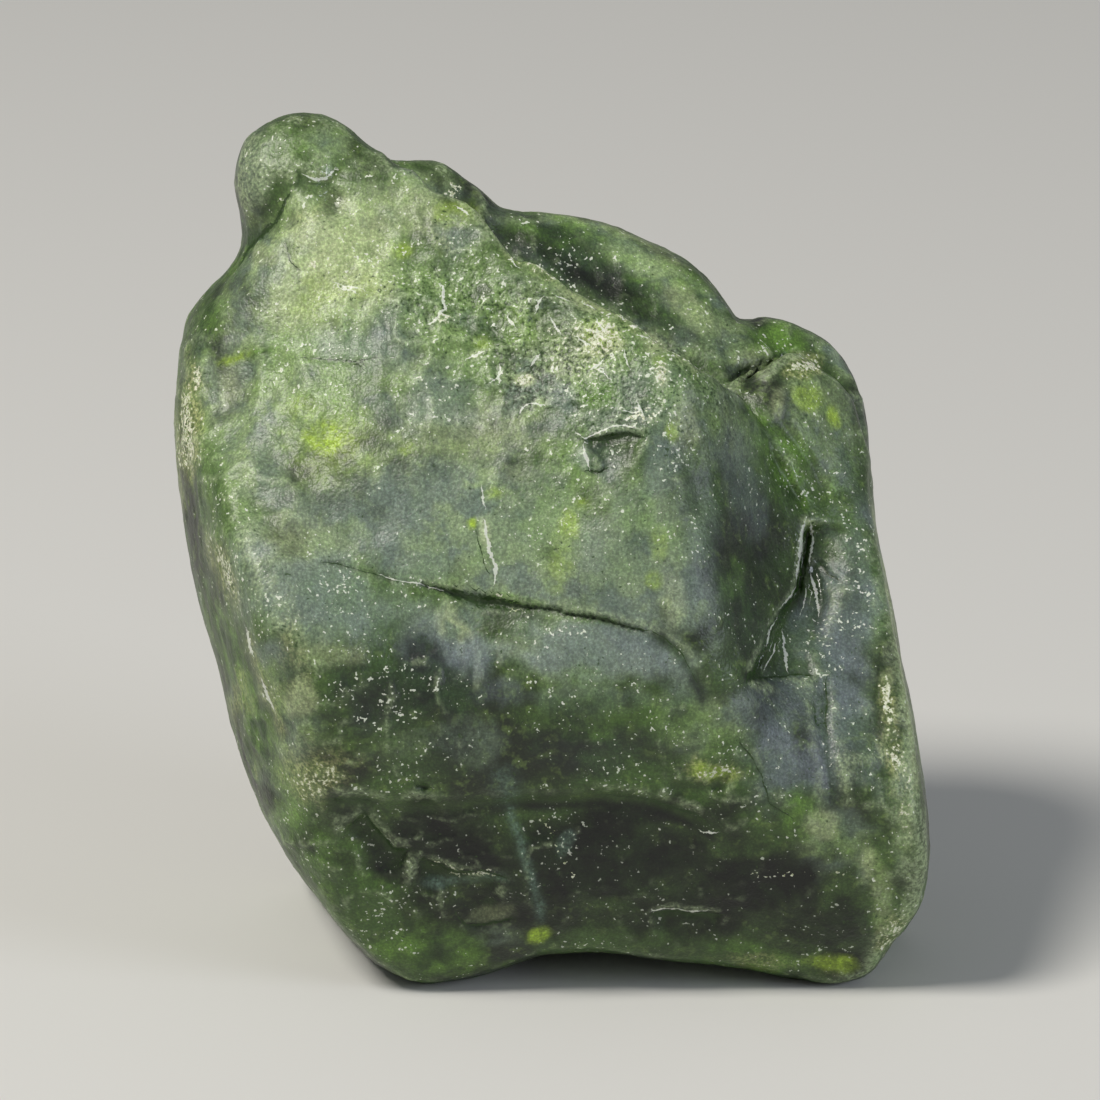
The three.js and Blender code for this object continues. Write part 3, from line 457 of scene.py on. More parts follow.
# Hairlines on the front, by kind: open cracks, and glints along broken edges. Each has a depth and a
# route of (u, v, half width). They are too fine for the mesh, so each point keeps its distance to
# either side of the nearest line and that line's half width, from which the material draws it sharply.
HAIRLINES = {
    "crack": [
        (0.16, [(-8.77, -0.46, 0.027), (-7.96, -0.58, 0.031), (-7.23, -0.77, 0.031), (-6.62, -1, 0.027),
            (-6, -1.15, 0.019)]),
        (0.3, [(-5, -1.27, 0.038), (-4.46, -1.46, 0.077), (-4, -1.62, 0.115), (-3.46, -1.77, 0.173),
            (-3.04, -1.85, 0.212), (-2.54, -1.96, 0.212), (-2.04, -2.04, 0.192), (-1.54, -2.12, 0.154),
            (-1.04, -2.15, 0.092), (-0.38, -2.19, 0.05), (0.46, -2.31, 0.031)]),
        (0.26, [(0.5, -2.42, 0.035), (0.85, -2.5, 0.058), (1.27, -2.58, 0.085), (1.77, -2.65, 0.085),
            (2.27, -2.73, 0.065), (2.77, -2.85, 0.046), (3.23, -2.96, 0.035), (3.65, -3.04, 0.031)]),
        (0.05, [(3.92, -3.12, 0.019), (4.54, -3.5, 0.031), (5.08, -4, 0.031), (5.5, -4.69, 0.023),
            (5.81, -5.38, 0.015)]),
        (0.2, [(-12.04, 10.88, 0.046), (-11.31, 11.92, 0.092), (-10.54, 12.69, 0.077),
            (-10, 13.77, 0.038)]),
        (0.1, [(-10.27, 11.81, 0.027), (-10.12, 11.38, 0.035), (-10, 11, 0.031), (-9.62, 10.77, 0.023)]),
        (0.16, [(1.38, 4.23, 0.046), (1.69, 4.23, 0.115), (2.12, 4.31, 0.146), (2.54, 4.35, 0.154),
            (3, 4.38, 0.115), (3.62, 4.31, 0.031)]),
        (0.2, [(1.42, 3.04, 0.038), (1.73, 2.96, 0.069), (2.15, 3.08, 0.038)]),
        (0.05, [(-2.85, 0.77, 0.019), (-2.73, 0.19, 0.031), (-2.58, -0.38, 0.031), (-2.38, -0.85, 0.019)]),
        (0.4, [(9.88, 0.73, 0.038), (9.85, 0, 0.062), (9.77, -0.85, 0.069), (9.62, -1.31, 0.1),
            (9.35, -1.81, 0.092), (8.92, -2.46, 0.108), (8.54, -3.04, 0.108), (8.35, -3.46, 0.092),
            (8.19, -3.96, 0.1), (7.92, -4.5, 0.131), (7.69, -4.88, 0.115)]),
        (0.15, [(7.92, -4.92, 0.046), (8.65, -4.92, 0.035), (9.46, -4.77, 0.035), (10.08, -4.81, 0.031)]),
        (0.14, [(10.38, -0.38, 0.038), (10.65, -0.88, 0.038), (11.04, -1.15, 0.027)]),
        (0.14, [(10.08, -5.77, 0.031), (10.15, -6.23, 0.042), (10.27, -6.73, 0.031)]),
        (0.16, [(10.58, -5, 0.027), (10.65, -5.77, 0.042), (10.62, -6.54, 0.038), (10.69, -7.12, 0.027)]),
        (0.2, [(-8.23, -9.62, 0.031), (-7.69, -9.62, 0.05), (-7.04, -9.62, 0.046), (-6.65, -9.77, 0.031)]),
        (0.18, [(4.08, -14.04, 0.031), (4.46, -13.92, 0.054), (4.88, -13.92, 0.05), (5.38, -14.08, 0.05),
            (6.04, -14, 0.046), (6.58, -14.04, 0.027)]),
        (0.18, [(-5, -12, 0.031), (-4.04, -12.23, 0.046), (-3.46, -12.46, 0.05), (-2.69, -12.38, 0.046),
            (-1.65, -12.65, 0.031)]),
        (0.15, [(-3.58, -14.04, 0.031), (-3.19, -14.42, 0.046), (-1.92, -14.31, 0.046),
            (-1.54, -14.15, 0.031)]),
        (0.12, [(-7.27, -9.96, 0.038), (-6.85, -10.54, 0.062), (-6.54, -11, 0.069), (-6.15, -11.54, 0.046),
            (-5.38, -11.54, 0.031)]),
        (0.3, [(-5.04, -9.08, 0.058), (-4.85, -9.12, 0.154), (-4.69, -9.12, 0.058)]),
        (0.1, [(2.04, -9.5, 0.031), (2.5, -9.42, 0.046), (3.69, -9.58, 0.054), (4.46, -9.85, 0.05),
            (5.35, -10.12, 0.05), (6, -10.46, 0.031)]),
        (0.1, [(-9.5, 7.38, 0.023), (-8.46, 7.31, 0.031), (-7.42, 7.23, 0.038), (-6.65, 7.46, 0.027)]),
        (0.12, [(-7.65, 7.31, 0.031), (-7.42, 7.19, 0.069), (-7.27, 7.08, 0.038)]),
        (0.12, [(7.38, -7.35, 0.031), (8.12, -8.69, 0.038), (8.46, -9.77, 0.035), (9.23, -10.31, 0.027)]),
    ],
    "glint": [
        (0, [(-6.54, -0.96, 0.019), (-6, -1.12, 0.035), (-5.58, -1.23, 0.031), (-5.08, -1.23, 0.035),
            (-4.62, -1.42, 0.035), (-4.23, -1.58, 0.023)]),
        (0, [(1, 4.58, 0.027), (1.31, 4.27, 0.035), (1.54, 4.42, 0.031), (1.96, 4.65, 0.042),
            (2.38, 4.73, 0.027), (2.85, 4.77, 0.038), (3.31, 4.65, 0.023)]),
        (0, [(1.31, 3.96, 0.031), (1.38, 3.54, 0.058), (1.46, 3.19, 0.038)]),
        (0, [(-1.15, 5.31, 0.038), (-1.09, 5.47, 0.038), (-0.85, 5.62, 0.035), (-0.35, 5.62, 0.031)]),
        (0, [(-4.15, 10.08, 0.058), (-4.08, 9.54, 0.054), (-4, 9.27, 0.069), (-4.23, 9.08, 0.065),
            (-4.42, 8.88, 0.054), (-4.62, 8.73, 0.038)]),
        (0, [(-2.31, 6.42, 0.027), (-2.08, 6.58, 0.038), (-2, 6.77, 0.054), (-1.98, 7.04, 0.038)]),
        (0, [(-3.08, 7.38, 0.046), (-2.77, 7.54, 0.085)]),
        (0, [(1.62, 6.92, 0.038), (1.92, 7.08, 0.05), (2.08, 7.31, 0.031)]),
        (0, [(-2.65, 2.42, 0.027), (-2.62, 2.04, 0.058), (-2.58, 1.73, 0.031)]),
        (0, [(3.38, 5.58, 0.046), (3.5, 5.38, 0.062), (3.58, 5.23, 0.038)]),
        (0, [(2.92, 5.35, 0.038), (3.15, 5.27, 0.046), (3.35, 5.35, 0.035)]),
        (0, [(-2.54, 1.08, 0.031), (-2.46, 0.62, 0.077), (-2.35, 0.19, 0.092), (-2.31, -0.08, 0.085),
            (-2.15, -0.38, 0.077), (-2.08, -0.65, 0.085), (-2.12, -1, 0.054), (-2.15, -1.23, 0.031)]),
        (0, [(9.73, 1, 0.046), (9.67, 0.38, 0.077), (9.63, -0.27, 0.077), (9.58, -0.69, 0.069),
            (9.54, -1.08, 0.038)]),
        (0, [(10.04, -0.46, 0.031), (10.08, 0.19, 0.069), (10.04, 0.69, 0.062), (9.96, 1, 0.038)]),
        (0, [(10.33, -2.46, 0.038), (10.27, -1.92, 0.069), (10.19, -1.46, 0.058), (10.13, -1.08, 0.038)]),
        (0, [(9.42, -1.46, 0.027), (9.19, -1.85, 0.046), (8.96, -2.15, 0.027)]),
        (0, [(8.96, -3.15, 0.031), (9.04, -3.65, 0.058), (9.08, -4.08, 0.077), (9.12, -4.54, 0.038)]),
        (0, [(8.69, -2.69, 0.023), (8.42, -3.15, 0.046), (8.31, -3.54, 0.027)]),
        (0, [(8.65, -3.54, 0.019), (8.5, -4.04, 0.038), (8.31, -4.54, 0.023)]),
        (0, [(9.62, -2.54, 0.019), (9.73, -2.08, 0.035), (9.81, -1.54, 0.019)]),
        (0, [(-1.46, 11.08, 0.038), (-1.19, 10.92, 0.027)]),
        (0, [(1.38, 9.5, 0.027), (1.69, 9.35, 0.038)]),
        (0, [(3.5, 8.23, 0.035), (3.77, 8.12, 0.023)]),
        (0, [(-3.58, 13.15, 0.031), (-3.27, 12.96, 0.062)]),
        (0, [(0.08, 8.81, 0.038), (0.27, 8.5, 0.077)]),
        (0, [(1.08, 8.15, 0.031), (1.38, 7.96, 0.077)]),
        (0, [(2.81, 7.46, 0.077), (2.96, 7.08, 0.038)]),
        (0, [(-1.62, 9, 0.031), (-1.42, 8.69, 0.058)]),
        (0, [(-0.46, 7.42, 0.062), (-0.69, 7.12, 0.031)]),
        (0, [(2.08, 6.85, 0.062), (2.27, 6.62, 0.038)]),
        (0, [(0.38, 9.69, 0.054), (0.73, 9.58, 0.035)]),
        (0, [(1.77, 8.77, 0.035), (1.96, 8.46, 0.069)]),
        (0, [(-0.35, 9.62, 0.038), (-0.5, 9.31, 0.062)]),
        (0, [(4.04, -13.94, 0.023), (4.46, -13.81, 0.035), (4.88, -13.81, 0.031), (5.38, -13.96, 0.027),
            (6.04, -13.88, 0.031)]),
        (0, [(-11.73, -3, 0.031), (-11.54, -3.65, 0.054), (-11.38, -4.08, 0.038)]),
        (0, [(-11.08, -5, 0.031), (-10.85, -5.65, 0.05), (-10.62, -6.19, 0.031)]),
        (0, [(5.85, -10.81, 0.038), (6.12, -10.85, 0.069), (6.31, -10.85, 0.038)]),
        (0, [(-8.31, 10.27, 0.023), (-8, 10.15, 0.035), (-7.62, 10.04, 0.035), (-7.23, 9.96, 0.023)]),
        (0, [(-7.54, 9.88, 0.023), (-7.88, 9.96, 0.035), (-8.19, 10.08, 0.023)]),
        (0, [(-9.42, 14.42, 0.031), (-9.15, 14.31, 0.062), (-8.85, 14.27, 0.1), (-8.54, 14.38, 0.077),
            (-8.27, 14.62, 0.031)]),
    ],
}
HAIRLINE_REACH = 0.4
OPEN_HALF_WIDTH = 0.08  # the narrowest that the mesh can show
hairline_side = {kind: np.full(len(skin), HAIRLINE_REACH) for kind in HAIRLINES}
hairline_width = {kind: np.zeros(len(skin)) for kind in HAIRLINES}
opened = np.zeros(len(skin))
HAIRLINE_STRAY = 0.025
u, v = (line + HAIRLINE_STRAY * noise(skin / 0.17 + 50.0) for line in drawn["front"])
for kind, depth, route in [(kind, *line) for kind, lines in HAIRLINES.items() for line in lines]:
    for start, end, _, t, distance, signed in legs(route, u, v):
        width = start[2] + t * (end[2] - start[2])
        nearer = (distance < np.abs(hairline_side[kind])) & (seen["front"] > 0.5)
        hairline_side[kind] = np.where(nearer, signed, hairline_side[kind])
        near = 1 - smoothstep(distance - width, 0.07, 0.22)
        hairline_width[kind] = np.where(nearer, width * near, hairline_width[kind])
        cut = np.exp(-((distance / np.maximum(width, OPEN_HALF_WIDTH)) ** 2))
        opened = np.maximum(opened, depth * seen["front"] * cut)
sunk["front"] += opened

# Frosted skin between the cleavage steps: small humps, and upright ridges of the fibrous grain.
fine = 0.03 * noise(skin / 0.9 + 11.3) + 0.02 * noise(skin / 0.42 + 3.7)
ribs = 0.022 * noise(skin / (0.3, 1.6, 0.3) + 5.1) * smoothstep(noise(skin / 3.1 + 1.7), -0.6, 0.4)

# Patches of colour and finish, by side and name: middle, half lengths, strength and, for one that is
# turned, by how many degrees. "crest" and "shelf" are the ground before and behind the front's crest.
PATCHES = {
    # Frosted skin, which on the left outline is also painted rim light.
    ("front", "frost_and_light"): [
        (-4.6, -7.2, 2.31, 0.62, 0.4, 15), (-6.7, -6.5, 0.92, 0.54, 0.35),
        (10.8, -11.3, 1.31, 1.54, 0.75, -10), (12.1, -12.3, 0.46, 1.15, 0.6),
        (-8.7, 15.6, 1, 0.69, 0.8, 20), (-1.9, 3.8, 1.92, 0.92, 0.6), (5.3, -1.9, 0.85, 1.73, 0.7),
        (-2.6, -7.5, 1, 1, 0.45), (5.8, -6.5, 1.92, 1.38, 0.6), (-13.3, 6.2, 1, 2.31, 0.75),
        (-3.3, -3.8, 2.88, 0.54, 0.7), (7.5, 4.2, 1.31, 1.77, 0.5, 20), (6.2, 5, 0.92, 1.31, 0.5),
        (-10.8, -10.8, 0.54, 2.12, 0.6, -42), (-1.9, -14.8, 1.15, 0.62, 0.6),
        (-3.8, 13.9, 0.54, 0.38, 0.6, -40), (-3.7, -2.9, 1.73, 1.15, 0.75), (-8.5, 11.2, 3.85, 3.08, 1, 20),
        (-9.6, 6.9, 3.85, 3.46, 0.85), (-3.8, 8.5, 4.62, 4.23, 0.75), (0.8, 6.5, 4.62, 3.46, 0.75),
        (-3.8, 1.2, 6.92, 3.46, 0.85), (2.7, -0.4, 3.46, 4.23, 0.7), (-8.5, -1.5, 4.23, 2.31, 0.75),
        (1.5, -4, 4.62, 1.35, 0.65), (-11.5, 4.2, 1.92, 4.23, 0.8), (-11.1, 15, 0.77, 1.15, 0.1),
        (-11.5, 11.9, 1.54, 1.92, 0.3), (10.4, 4.6, 1.73, 2.31, 0.5), (11.5, -0.4, 0.96, 4.62, 0.12, 5),
        (-10, -8.1, 1.35, 1.73, 0.6), (3.8, 11.9, 2.31, 0.69, 0.45, -35), (-5, 14.3, 1.15, 0.54, 0.6, -40),
        (-12.1, 9.6, 0.77, 1.15, 0.55), (-12.2, -5.4, 0.31, 1.54, 0.6, -20),
        (-10.8, -5, 1.15, 2.31, 0.5, -10), (5.8, 4.6, 1.15, 1.92, 0.5), (12.7, -1.9, 0.31, 4.23, 0.45, -8),
        (13.7, -9.2, 0.31, 3.46, 0.7, -3),
    ],
    # Pale weathering, and painted highlight on the knob's chip, the lit upper left and the flake's edge.
    ("front", "pale_and_highlight"): [
        (-1.3, -3.8, 1, 0.54, 0.25), (13.1, -4.7, 0.31, 0.77, 0.3), (-14, 3.8, 0.31, 0.62, 0.4),
        (-1.3, 3, 0.77, 0.54, 0.25), (8, 7.2, 0.77, 0.46, 0.25), (-2.1, -14, 0.92, 0.38, 0.2),
        (-2.5, 0.6, 0.23, 0.62, 1, 8), (13, -4.8, 0.23, 1.15, 0.5, 5), (-3.4, -3.5, 0.19, 1, 0.45),
        (-2.8, -4.4, 0.15, 0.77, 0.4), (-1.9, -4, 0.19, 0.92, 0.4), (-4.2, -2.8, 0.19, 0.62, 0.5, 10),
        (-0.5, -3.8, 0.15, 0.85, 0.3), (-2.7, 4.2, 2.31, 1.15, 0.3), (-9.7, -5.5, 0.62, 0.62, 0.5),
        (5.1, 5, 0.62, 0.92, 0.4), (4.7, -1.9, 0.5, 1.31, 0.35), (10.5, -10.5, 0.54, 0.54, 0.55),
        (12.2, -12.2, 0.31, 0.92, 0.5), (-12.3, 6.3, 0.54, 1.31, 0.35), (8.8, 5.6, 0.31, 0.62, 0.4),
        (-8.8, 14.4, 0.54, 0.15, 0.7, -8), (9.9, 1.1, 0.35, 0.19, 0.7), (10, 0.8, 0.15, 0.23, 0.5),
        (-8.3, 11.5, 2.31, 2.12, 0.75, 20), (-9.6, 9.6, 1.54, 1.54, 0.5),
        (-5.8, 12.9, 1.92, 1.15, 0.35, -20), (0.4, 7.9, 2.31, 1, 0.15, -25), (1.9, 8, 0.62, 0.69, 0.7),
        (3.9, 7.9, 0.46, 0.35, 0.6, -30), (-1, 6.5, 0.38, 0.27, 0.8), (4.3, 6.7, 0.31, 0.46, 0.8),
        (-9, 11, 0.42, 0.31, 0.8, -30), (-7.7, 10.1, 0.62, 0.27, 0.6, -18), (-11.1, 11.4, 0.38, 0.46, 0.4),
        (-2.9, 7.5, 0.31, 0.15, 0.8, 20), (12.7, -13.2, 0.54, 1, 0.35, 10), (-9.6, 0.2, 1.54, 1.15, 0.3),
        (1.3, 3.5, 0.12, 0.46, 0.6), (-3.8, -2.4, 0.27, 0.54, 0.4, 20), (-8.3, -4, 1.54, 0.46, 0.3, -8),
    ],
    ("front", "straw"): [
        (8.1, -15.8, 2.31, 0.31, 0.45, -8), (-12.1, -5.8, 0.38, 1.38, 0.5, -20),
        (-9, -8.5, 1.69, 1, 0.75, -8), (-13.8, 5, 0.46, 2.12, 0.9), (-12.5, -1, 0.46, 1.31, 0.8, 20),
        (-11.3, -5.8, 0.38, 2.31, 0.3, -65), (13.1, -6.1, 0.46, 2.31, 0.8, 4),
        (13.7, -9.6, 0.31, 2.31, 0.4), (6.4, -8.6, 0.92, 0.54, 0.9, -10), (9.8, 7.1, 0.92, 0.38, 0.9, 8),
        (1.9, 8, 0.85, 0.54, 0.5), (13.1, -15, 0.46, 1.15, 0.6, -30), (-9.2, 12.9, 0.62, 0.46, 0.4),
        (-4.2, 11.7, 0.62, 0.38, 0.3, -20), (-10, -3.5, 0.62, 1.15, 0.4),
    ],
    ("front", "bruised"): [
        (-3.5, 10, 2.69, 2.31, 0.8, -30), (0.4, 7.3, 4.62, 2.69, 1, -20), (3.5, 5.8, 3.46, 2.31, 0.8),
        (7.3, 4.6, 2.31, 2.69, 0.4), (-9.6, -1.9, 2.31, 2.31, 0.3), (-8.5, 10, 2.31, 1.54, 0.4),
        (-4.2, -6.9, 2.31, 1.54, 0.4), (-11.9, -0.4, 1.15, 1.92, 0.4), (13.1, -5.8, 0.54, 2.31, 0.6),
        (12.3, -13.5, 1.15, 1.54, 0.6), (2.7, 5.1, 1.15, 0.46, 1),
    ],
    # Blue-grey haze, which on the right face is a painted sheen of reflected light.
    ("front", "haze_and_sheen"): [
        (-3.3, -4, 3.08, 0.85, 0.95), (-1.7, -5.5, 1.15, 0.69, 0.4), (-10.7, -3.8, 1, 0.62, 0.6),
        (8.8, -7.5, 1.31, 2.31, 0.7, -15), (9.6, -2.9, 0.69, 1.92, 0.6), (-4.2, 5.8, 1.31, 0.85, 0.5),
        (4.2, 3.7, 0.77, 1.54, 0.6), (-5.4, -0.8, 2.31, 0.77, 0.5), (-0.4, -9.8, 1.54, 0.31, 0.4),
        (-11.5, 14.8, 0.77, 1.54, 0.45), (9.2, -5.8, 2.31, 1.15, 0.4), (-3.7, 11.9, 0.77, 1, 0.5, -30),
        (-8.5, -1.9, 4.23, 1.73, 0.7, -8), (-6.5, 1.2, 1.54, 1.92, 0.4), (11.3, -2.7, 1.54, 4.62, 0.8, -5),
        (10.8, -7.3, 1.73, 2.31, 0.6), (7.3, 2.7, 1.15, 2.31, 0.5), (-7.4, 8.1, 2.12, 1.15, 0.5),
        (1.9, -4, 3.85, 1.15, 0.75, -5), (3.5, 5.8, 1.92, 1.54, 0.4), (5.8, -0.4, 1.15, 3.46, 0.35),
        (-3.8, 0.8, 6.54, 2.31, 0.25), (2.7, -0.8, 3.08, 3.46, 0.3), (9.2, -5.8, 1.92, 1.54, 0.5),
        (0.4, 5.8, 0.62, 0.69, 0.6), (1.9, 3.5, 0.92, 0.54, 0.7), (1.5, -5.8, 2.31, 0.77, 0.3),
        (1.5, -0.4, 0.85, 1.15, 0.5),
    ],
    # Dark green of the body, which in the notch, the seam of the lobe and the gap by the rear lobe is
    # painted shade.
    ("front", "deep_and_shade"): [
        (7.2, -9.7, 1.15, 0.54, 0.5), (-0.4, -9.6, 1.15, 0.77, 0.3), (-7.2, -9.7, 0.92, 0.54, 0.4),
        (-8, -4.7, 0.92, 0.62, 0.3), (-3.9, -14.9, 0.69, 0.54, 0.7), (11.6, -1.5, 0.38, 2.31, 0.4, -5),
        (11.5, -8.3, 0.54, 0.92, 0.5), (-13.8, 7.9, 0.38, 0.92, 0.5), (12, -14.8, 1, 1.54, 0.6, -20),
        (-5.8, -5.4, 2.88, 1.92, 1, -10), (1.7, -7.4, 2.88, 1.31, 0.95, -3), (-4.6, -8.1, 2.31, 0.69, 0.5),
        (7.5, -0.4, 1.73, 4.62, 0.4), (-11, 15.2, 0.77, 1.31, 0.5), (2.5, 3.8, 1, 0.54, 0.75),
        (9.2, 2.4, 0.31, 0.54, 0.5), (7.5, -2.7, 1.15, 1.92, 0.8, 20), (2.5, 4.2, 1, 0.23, 1),
        (1.9, 3.5, 0.54, 0.38, 0.6), (9.2, 8.3, 1.31, 0.85, 0.7), (5.4, 3.1, 0.77, 2.31, 0.5),
        (-3.1, 13.3, 1.15, 0.46, 0.6, -45), (-8.5, 13.7, 0.54, 0.23, 0.7), (-2.5, 9.9, 0.31, 0.31, 0.7),
        (1.7, 5.9, 0.23, 0.38, 0.6), (-1.6, -2.4, 1, 0.27, 0.7),
    ],
    # Painted shade: near black on the underside, which faces down away from the lamp, and in small dark
    # places such as the pit at the crest's end.
    ("front", "shade"): [
        (-3.8, -11.4, 0.69, 0.54, 0.5), (2.1, -14, 0.92, 0.54, 0.5), (8, -11.4, 0.92, 0.54, 0.5),
        (6.3, -10.2, 1.62, 0.77, 0.9, 25), (11.1, -13.7, 1, 1, 0.9), (9.6, -15.4, 1.15, 0.46, 0.6),
        (-5.8, -5.4, 1.92, 1.15, 0.4, -10), (8, 8.8, 0.38, 0.27, 1), (2.3, -10.2, 5, 0.85, 1, 3),
        (5.8, -13.8, 3.46, 1.31, 0.9, -3), (11.2, -15.9, 1.77, 0.69, 1, -10),
        (11.6, -13.7, 0.54, 0.77, 0.5), (-3.1, -11.2, 2.31, 1.15, 0.8), (-4.2, -11.5, 3.85, 1.73, 1, -10),
        (1.9, -11.9, 5.38, 2.31, 1), (7.7, -12.9, 3.65, 1.92, 1), (10.4, -14.4, 1.54, 1, 0.8, -10),
        (-1.2, -13.7, 3.85, 1.54, 0.9), (7.6, 6.5, 0.54, 0.38, 1), (7.7, -4.8, 0.27, 0.23, 0.9),
    ],
    # Clear leaf green, which along thin edges, the feet and the seams of the lobe is a painted glow of
    # light through the stone.
    ("front", "leaf_and_glow"): [
        (10.8, -11.1, 0.85, 1, 0.5), (-4.2, -15.4, 2.31, 1.15, 0.9, -10),
        (-7.7, -12.3, 1.54, 1.92, 0.6, -45), (-11.7, -5.4, 4.42, 0.62, 0.85, -70),
        (-9.6, -11.3, 2.31, 1, 0.6, -55), (8.1, -15.7, 3.46, 0.62, 0.9, -8), (9.8, -10.3, 0.92, 0.92, 0.9),
        (12.6, -13.2, 0.62, 1.23, 0.8, 10), (-10.2, 15.4, 1.54, 1, 0.4), (8.8, 8.2, 0.92, 0.69, 0.9),
        (9.3, 2.3, 0.54, 0.92, 1, -20), (11.2, 2.7, 0.46, 1.15, 0.5, -25), (-12.1, 11, 1.73, 0.38, 0.6, 55),
        (-13.3, -3.5, 0.46, 1.92, 0.6), (-1.3, 8.5, 1.54, 0.77, 0.6), (1.9, 6, 0.92, 0.62, 0.8),
        (1.5, -6.5, 3.85, 0.85, 0.4), (-11.2, 11.5, 0.38, 1.31, 0.8, 35), (-8.5, 13.3, 0.69, 0.54, 0.6),
        (6.3, 7.1, 0.31, 0.23, 1), (7.5, 6.7, 0.31, 0.31, 0.8), (-0.4, 12.1, 1.54, 0.38, 0.7, -15),
        (3.8, 9.6, 1.15, 0.69, 0.7, -40), (-8.8, 5.4, 1.92, 1.54, 0.25), (-13.1, 8.5, 0.54, 1.54, 0.5, -20),
        (0.4, 3.5, 1.92, 1.15, 0.35), (-2.3, 8.2, 1.15, 0.46, 0.5, -10), (4.2, 6, 0.92, 0.54, 0.5),
        (-1.7, -1.9, 1.08, 0.19, 1, -6), (1.8, -2.7, 1, 0.15, 0.8, -5), (6.9, -0.8, 0.62, 1.15, 0.4),
        (-9.6, -5.4, 1.15, 1.54, 0.4), (-7.7, -7.3, 1.92, 0.62, 0.3), (-3.1, 3.8, 1.15, 0.62, 0.4),
        (3.5, 1.2, 0.54, 0.92, 0.4),
    ],
    ("front", "lime"): [
        (-8.5, 3.8, 2, 1.69, 0.28), (-8.3, 4.1, 1, 0.77, 1), (-8, 3.8, 0.35, 0.31, 0.6),
        (-9.7, 5.6, 0.62, 0.46, 0.35), (-8.5, 9.6, 1.54, 1.15, 0.3), (4.2, 7.3, 0.31, 0.23, 0.3),
        (10.9, 5.2, 0.27, 0.46, 0.8), (9.9, 5.8, 0.54, 0.46, 0.5), (-0.5, -14.8, 0.54, 0.38, 1),
        (-3.7, 12.9, 0.77, 0.54, 0.4), (-5.6, 11.5, 0.46, 0.38, 0.55), (-5.5, 3.9, 0.38, 0.31, 0.4),
        (0.8, 1, 0.38, 0.46, 0.5), (1.3, 1.8, 0.35, 0.35, 0.5), (-2.2, 2.2, 0.54, 0.38, 0.5),
        (4, -1.2, 0.35, 0.35, 0.5), (10.4, -15.8, 1.31, 0.31, 0.8, -5), (6.4, -8.6, 0.77, 0.38, 0.6, -10),
        (1.9, 8.3, 0.77, 0.38, 0.3, -30), (4.7, 4.6, 0.23, 0.38, 0.6), (-3, 1, 0.19, 0.23, 1),
        (-2.6, 7.9, 0.54, 0.31, 0.4), (0.4, -0.4, 0.54, 1, 0.3), (4.2, 0.2, 0.31, 0.54, 0.3),
    ],
    ("front", "vein"): [
        (-3.2, -12.7, 1.54, 0.23, 0.6, 3), (0.6, -11.3, 0.23, 0.54, 0.5, -20),
    ],
    ("front", "crust"): [
        (-14, 4.8, 0.23, 1.54, 0.6), (-13.6, 6.5, 0.19, 0.62, 0.6), (-12.5, -0.8, 0.23, 0.92, 0.55, 20),
        (-8.8, -8.7, 1.15, 0.62, 0.35), (13, -5.8, 0.23, 1.54, 0.85, 4), (13.3, -7.3, 0.15, 0.77, 0.6, 4),
        (13.7, -9.6, 0.19, 1.92, 0.3), (13.1, -15, 0.31, 0.92, 0.4, -30), (6.5, -8.5, 0.69, 0.27, 0.5, 10),
        (9.8, 7.1, 0.69, 0.19, 0.8, 8), (-3.7, 14, 0.23, 0.23, 0.6), (2, 8.1, 0.54, 0.62, 0.55),
        (3.9, 7.9, 0.38, 0.19, 0.5, 30), (4.3, 6.8, 0.27, 0.42, 0.7), (1.2, 7.6, 1.54, 1, 0.24, -20),
        (3.5, 5.2, 0.77, 0.38, 0.5), (-1, 6.5, 0.31, 0.19, 0.9, 30), (-9.1, 11, 0.31, 0.19, 0.6, -30),
        (-2.9, 7.5, 0.27, 0.12, 0.9, 20), (-2, -1.9, 0.15, 0.15, 0.7), (-1.3, -2.2, 0.27, 0.12, 0.9, 5),
        (-2.7, -1.9, 0.12, 0.12, 0.7), (-4.8, -1.3, 0.15, 0.12, 0.6), (-4.1, 8.8, 0.31, 0.31, 0.4),
        (-3.8, 13.8, 0.23, 0.19, 0.6), (-1.5, 11.1, 0.23, 0.15, 0.5),
    ],
    ("front", "specks"): [
        (-5.8, -5.8, 1.92, 0.77, 1, 30), (-7.9, -5.4, 0.92, 0.46, 0.9, 20),
        (-3.8, -7.4, 1.54, 0.54, 0.9, 10), (0.4, -6.5, 0.46, 1.54, 0.5, -30), (3.5, -8.3, 1.92, 0.38, 0.3),
        (0.8, -11.5, 0.38, 1.92, 0.7, -20), (5.8, -13.7, 2.31, 0.31, 0.4),
        (-4.6, -13.7, 2.69, 0.54, 0.5, 5), (1.9, -8.7, 2.31, 0.38, 0.25), (-1.2, -8.2, 2.31, 0.46, 0.4),
        (10.5, -4.2, 0.54, 1.15, 1), (0.8, 7.7, 5.77, 4.23, 0.3, -20), (-4.2, -6.9, 4.23, 2.31, 0.35),
        (-9.6, -1.9, 4.62, 1.54, 0.3), (1.9, -12.3, 9.23, 2.31, 0.08), (-8.5, 11.5, 3.85, 3.08, 0.12),
        (10.4, 1.2, 3.08, 5.38, 0.25), (2.7, 10.8, 1.54, 0.54, 0.1, -30), (-5.6, -4.8, 1.15, 1, 0.6),
        (-2.7, -6.5, 1.54, 0.77, 0.5), (-5.8, 5.4, 2.31, 1.15, 0.6), (-11, 11.5, 0.54, 0.54, 0.8),
        (3.5, 5.2, 1.15, 0.62, 1), (5.4, 8.1, 1.15, 0.77, 0.6, -40),
    ],
    ("front", "chipped"): [
        (-3.8, 9.6, 6.54, 4.23, 1, -30), (-11.5, 4.6, 3.46, 5, 0.7), (-9.6, 11.9, 4.23, 3.08, 0.4),
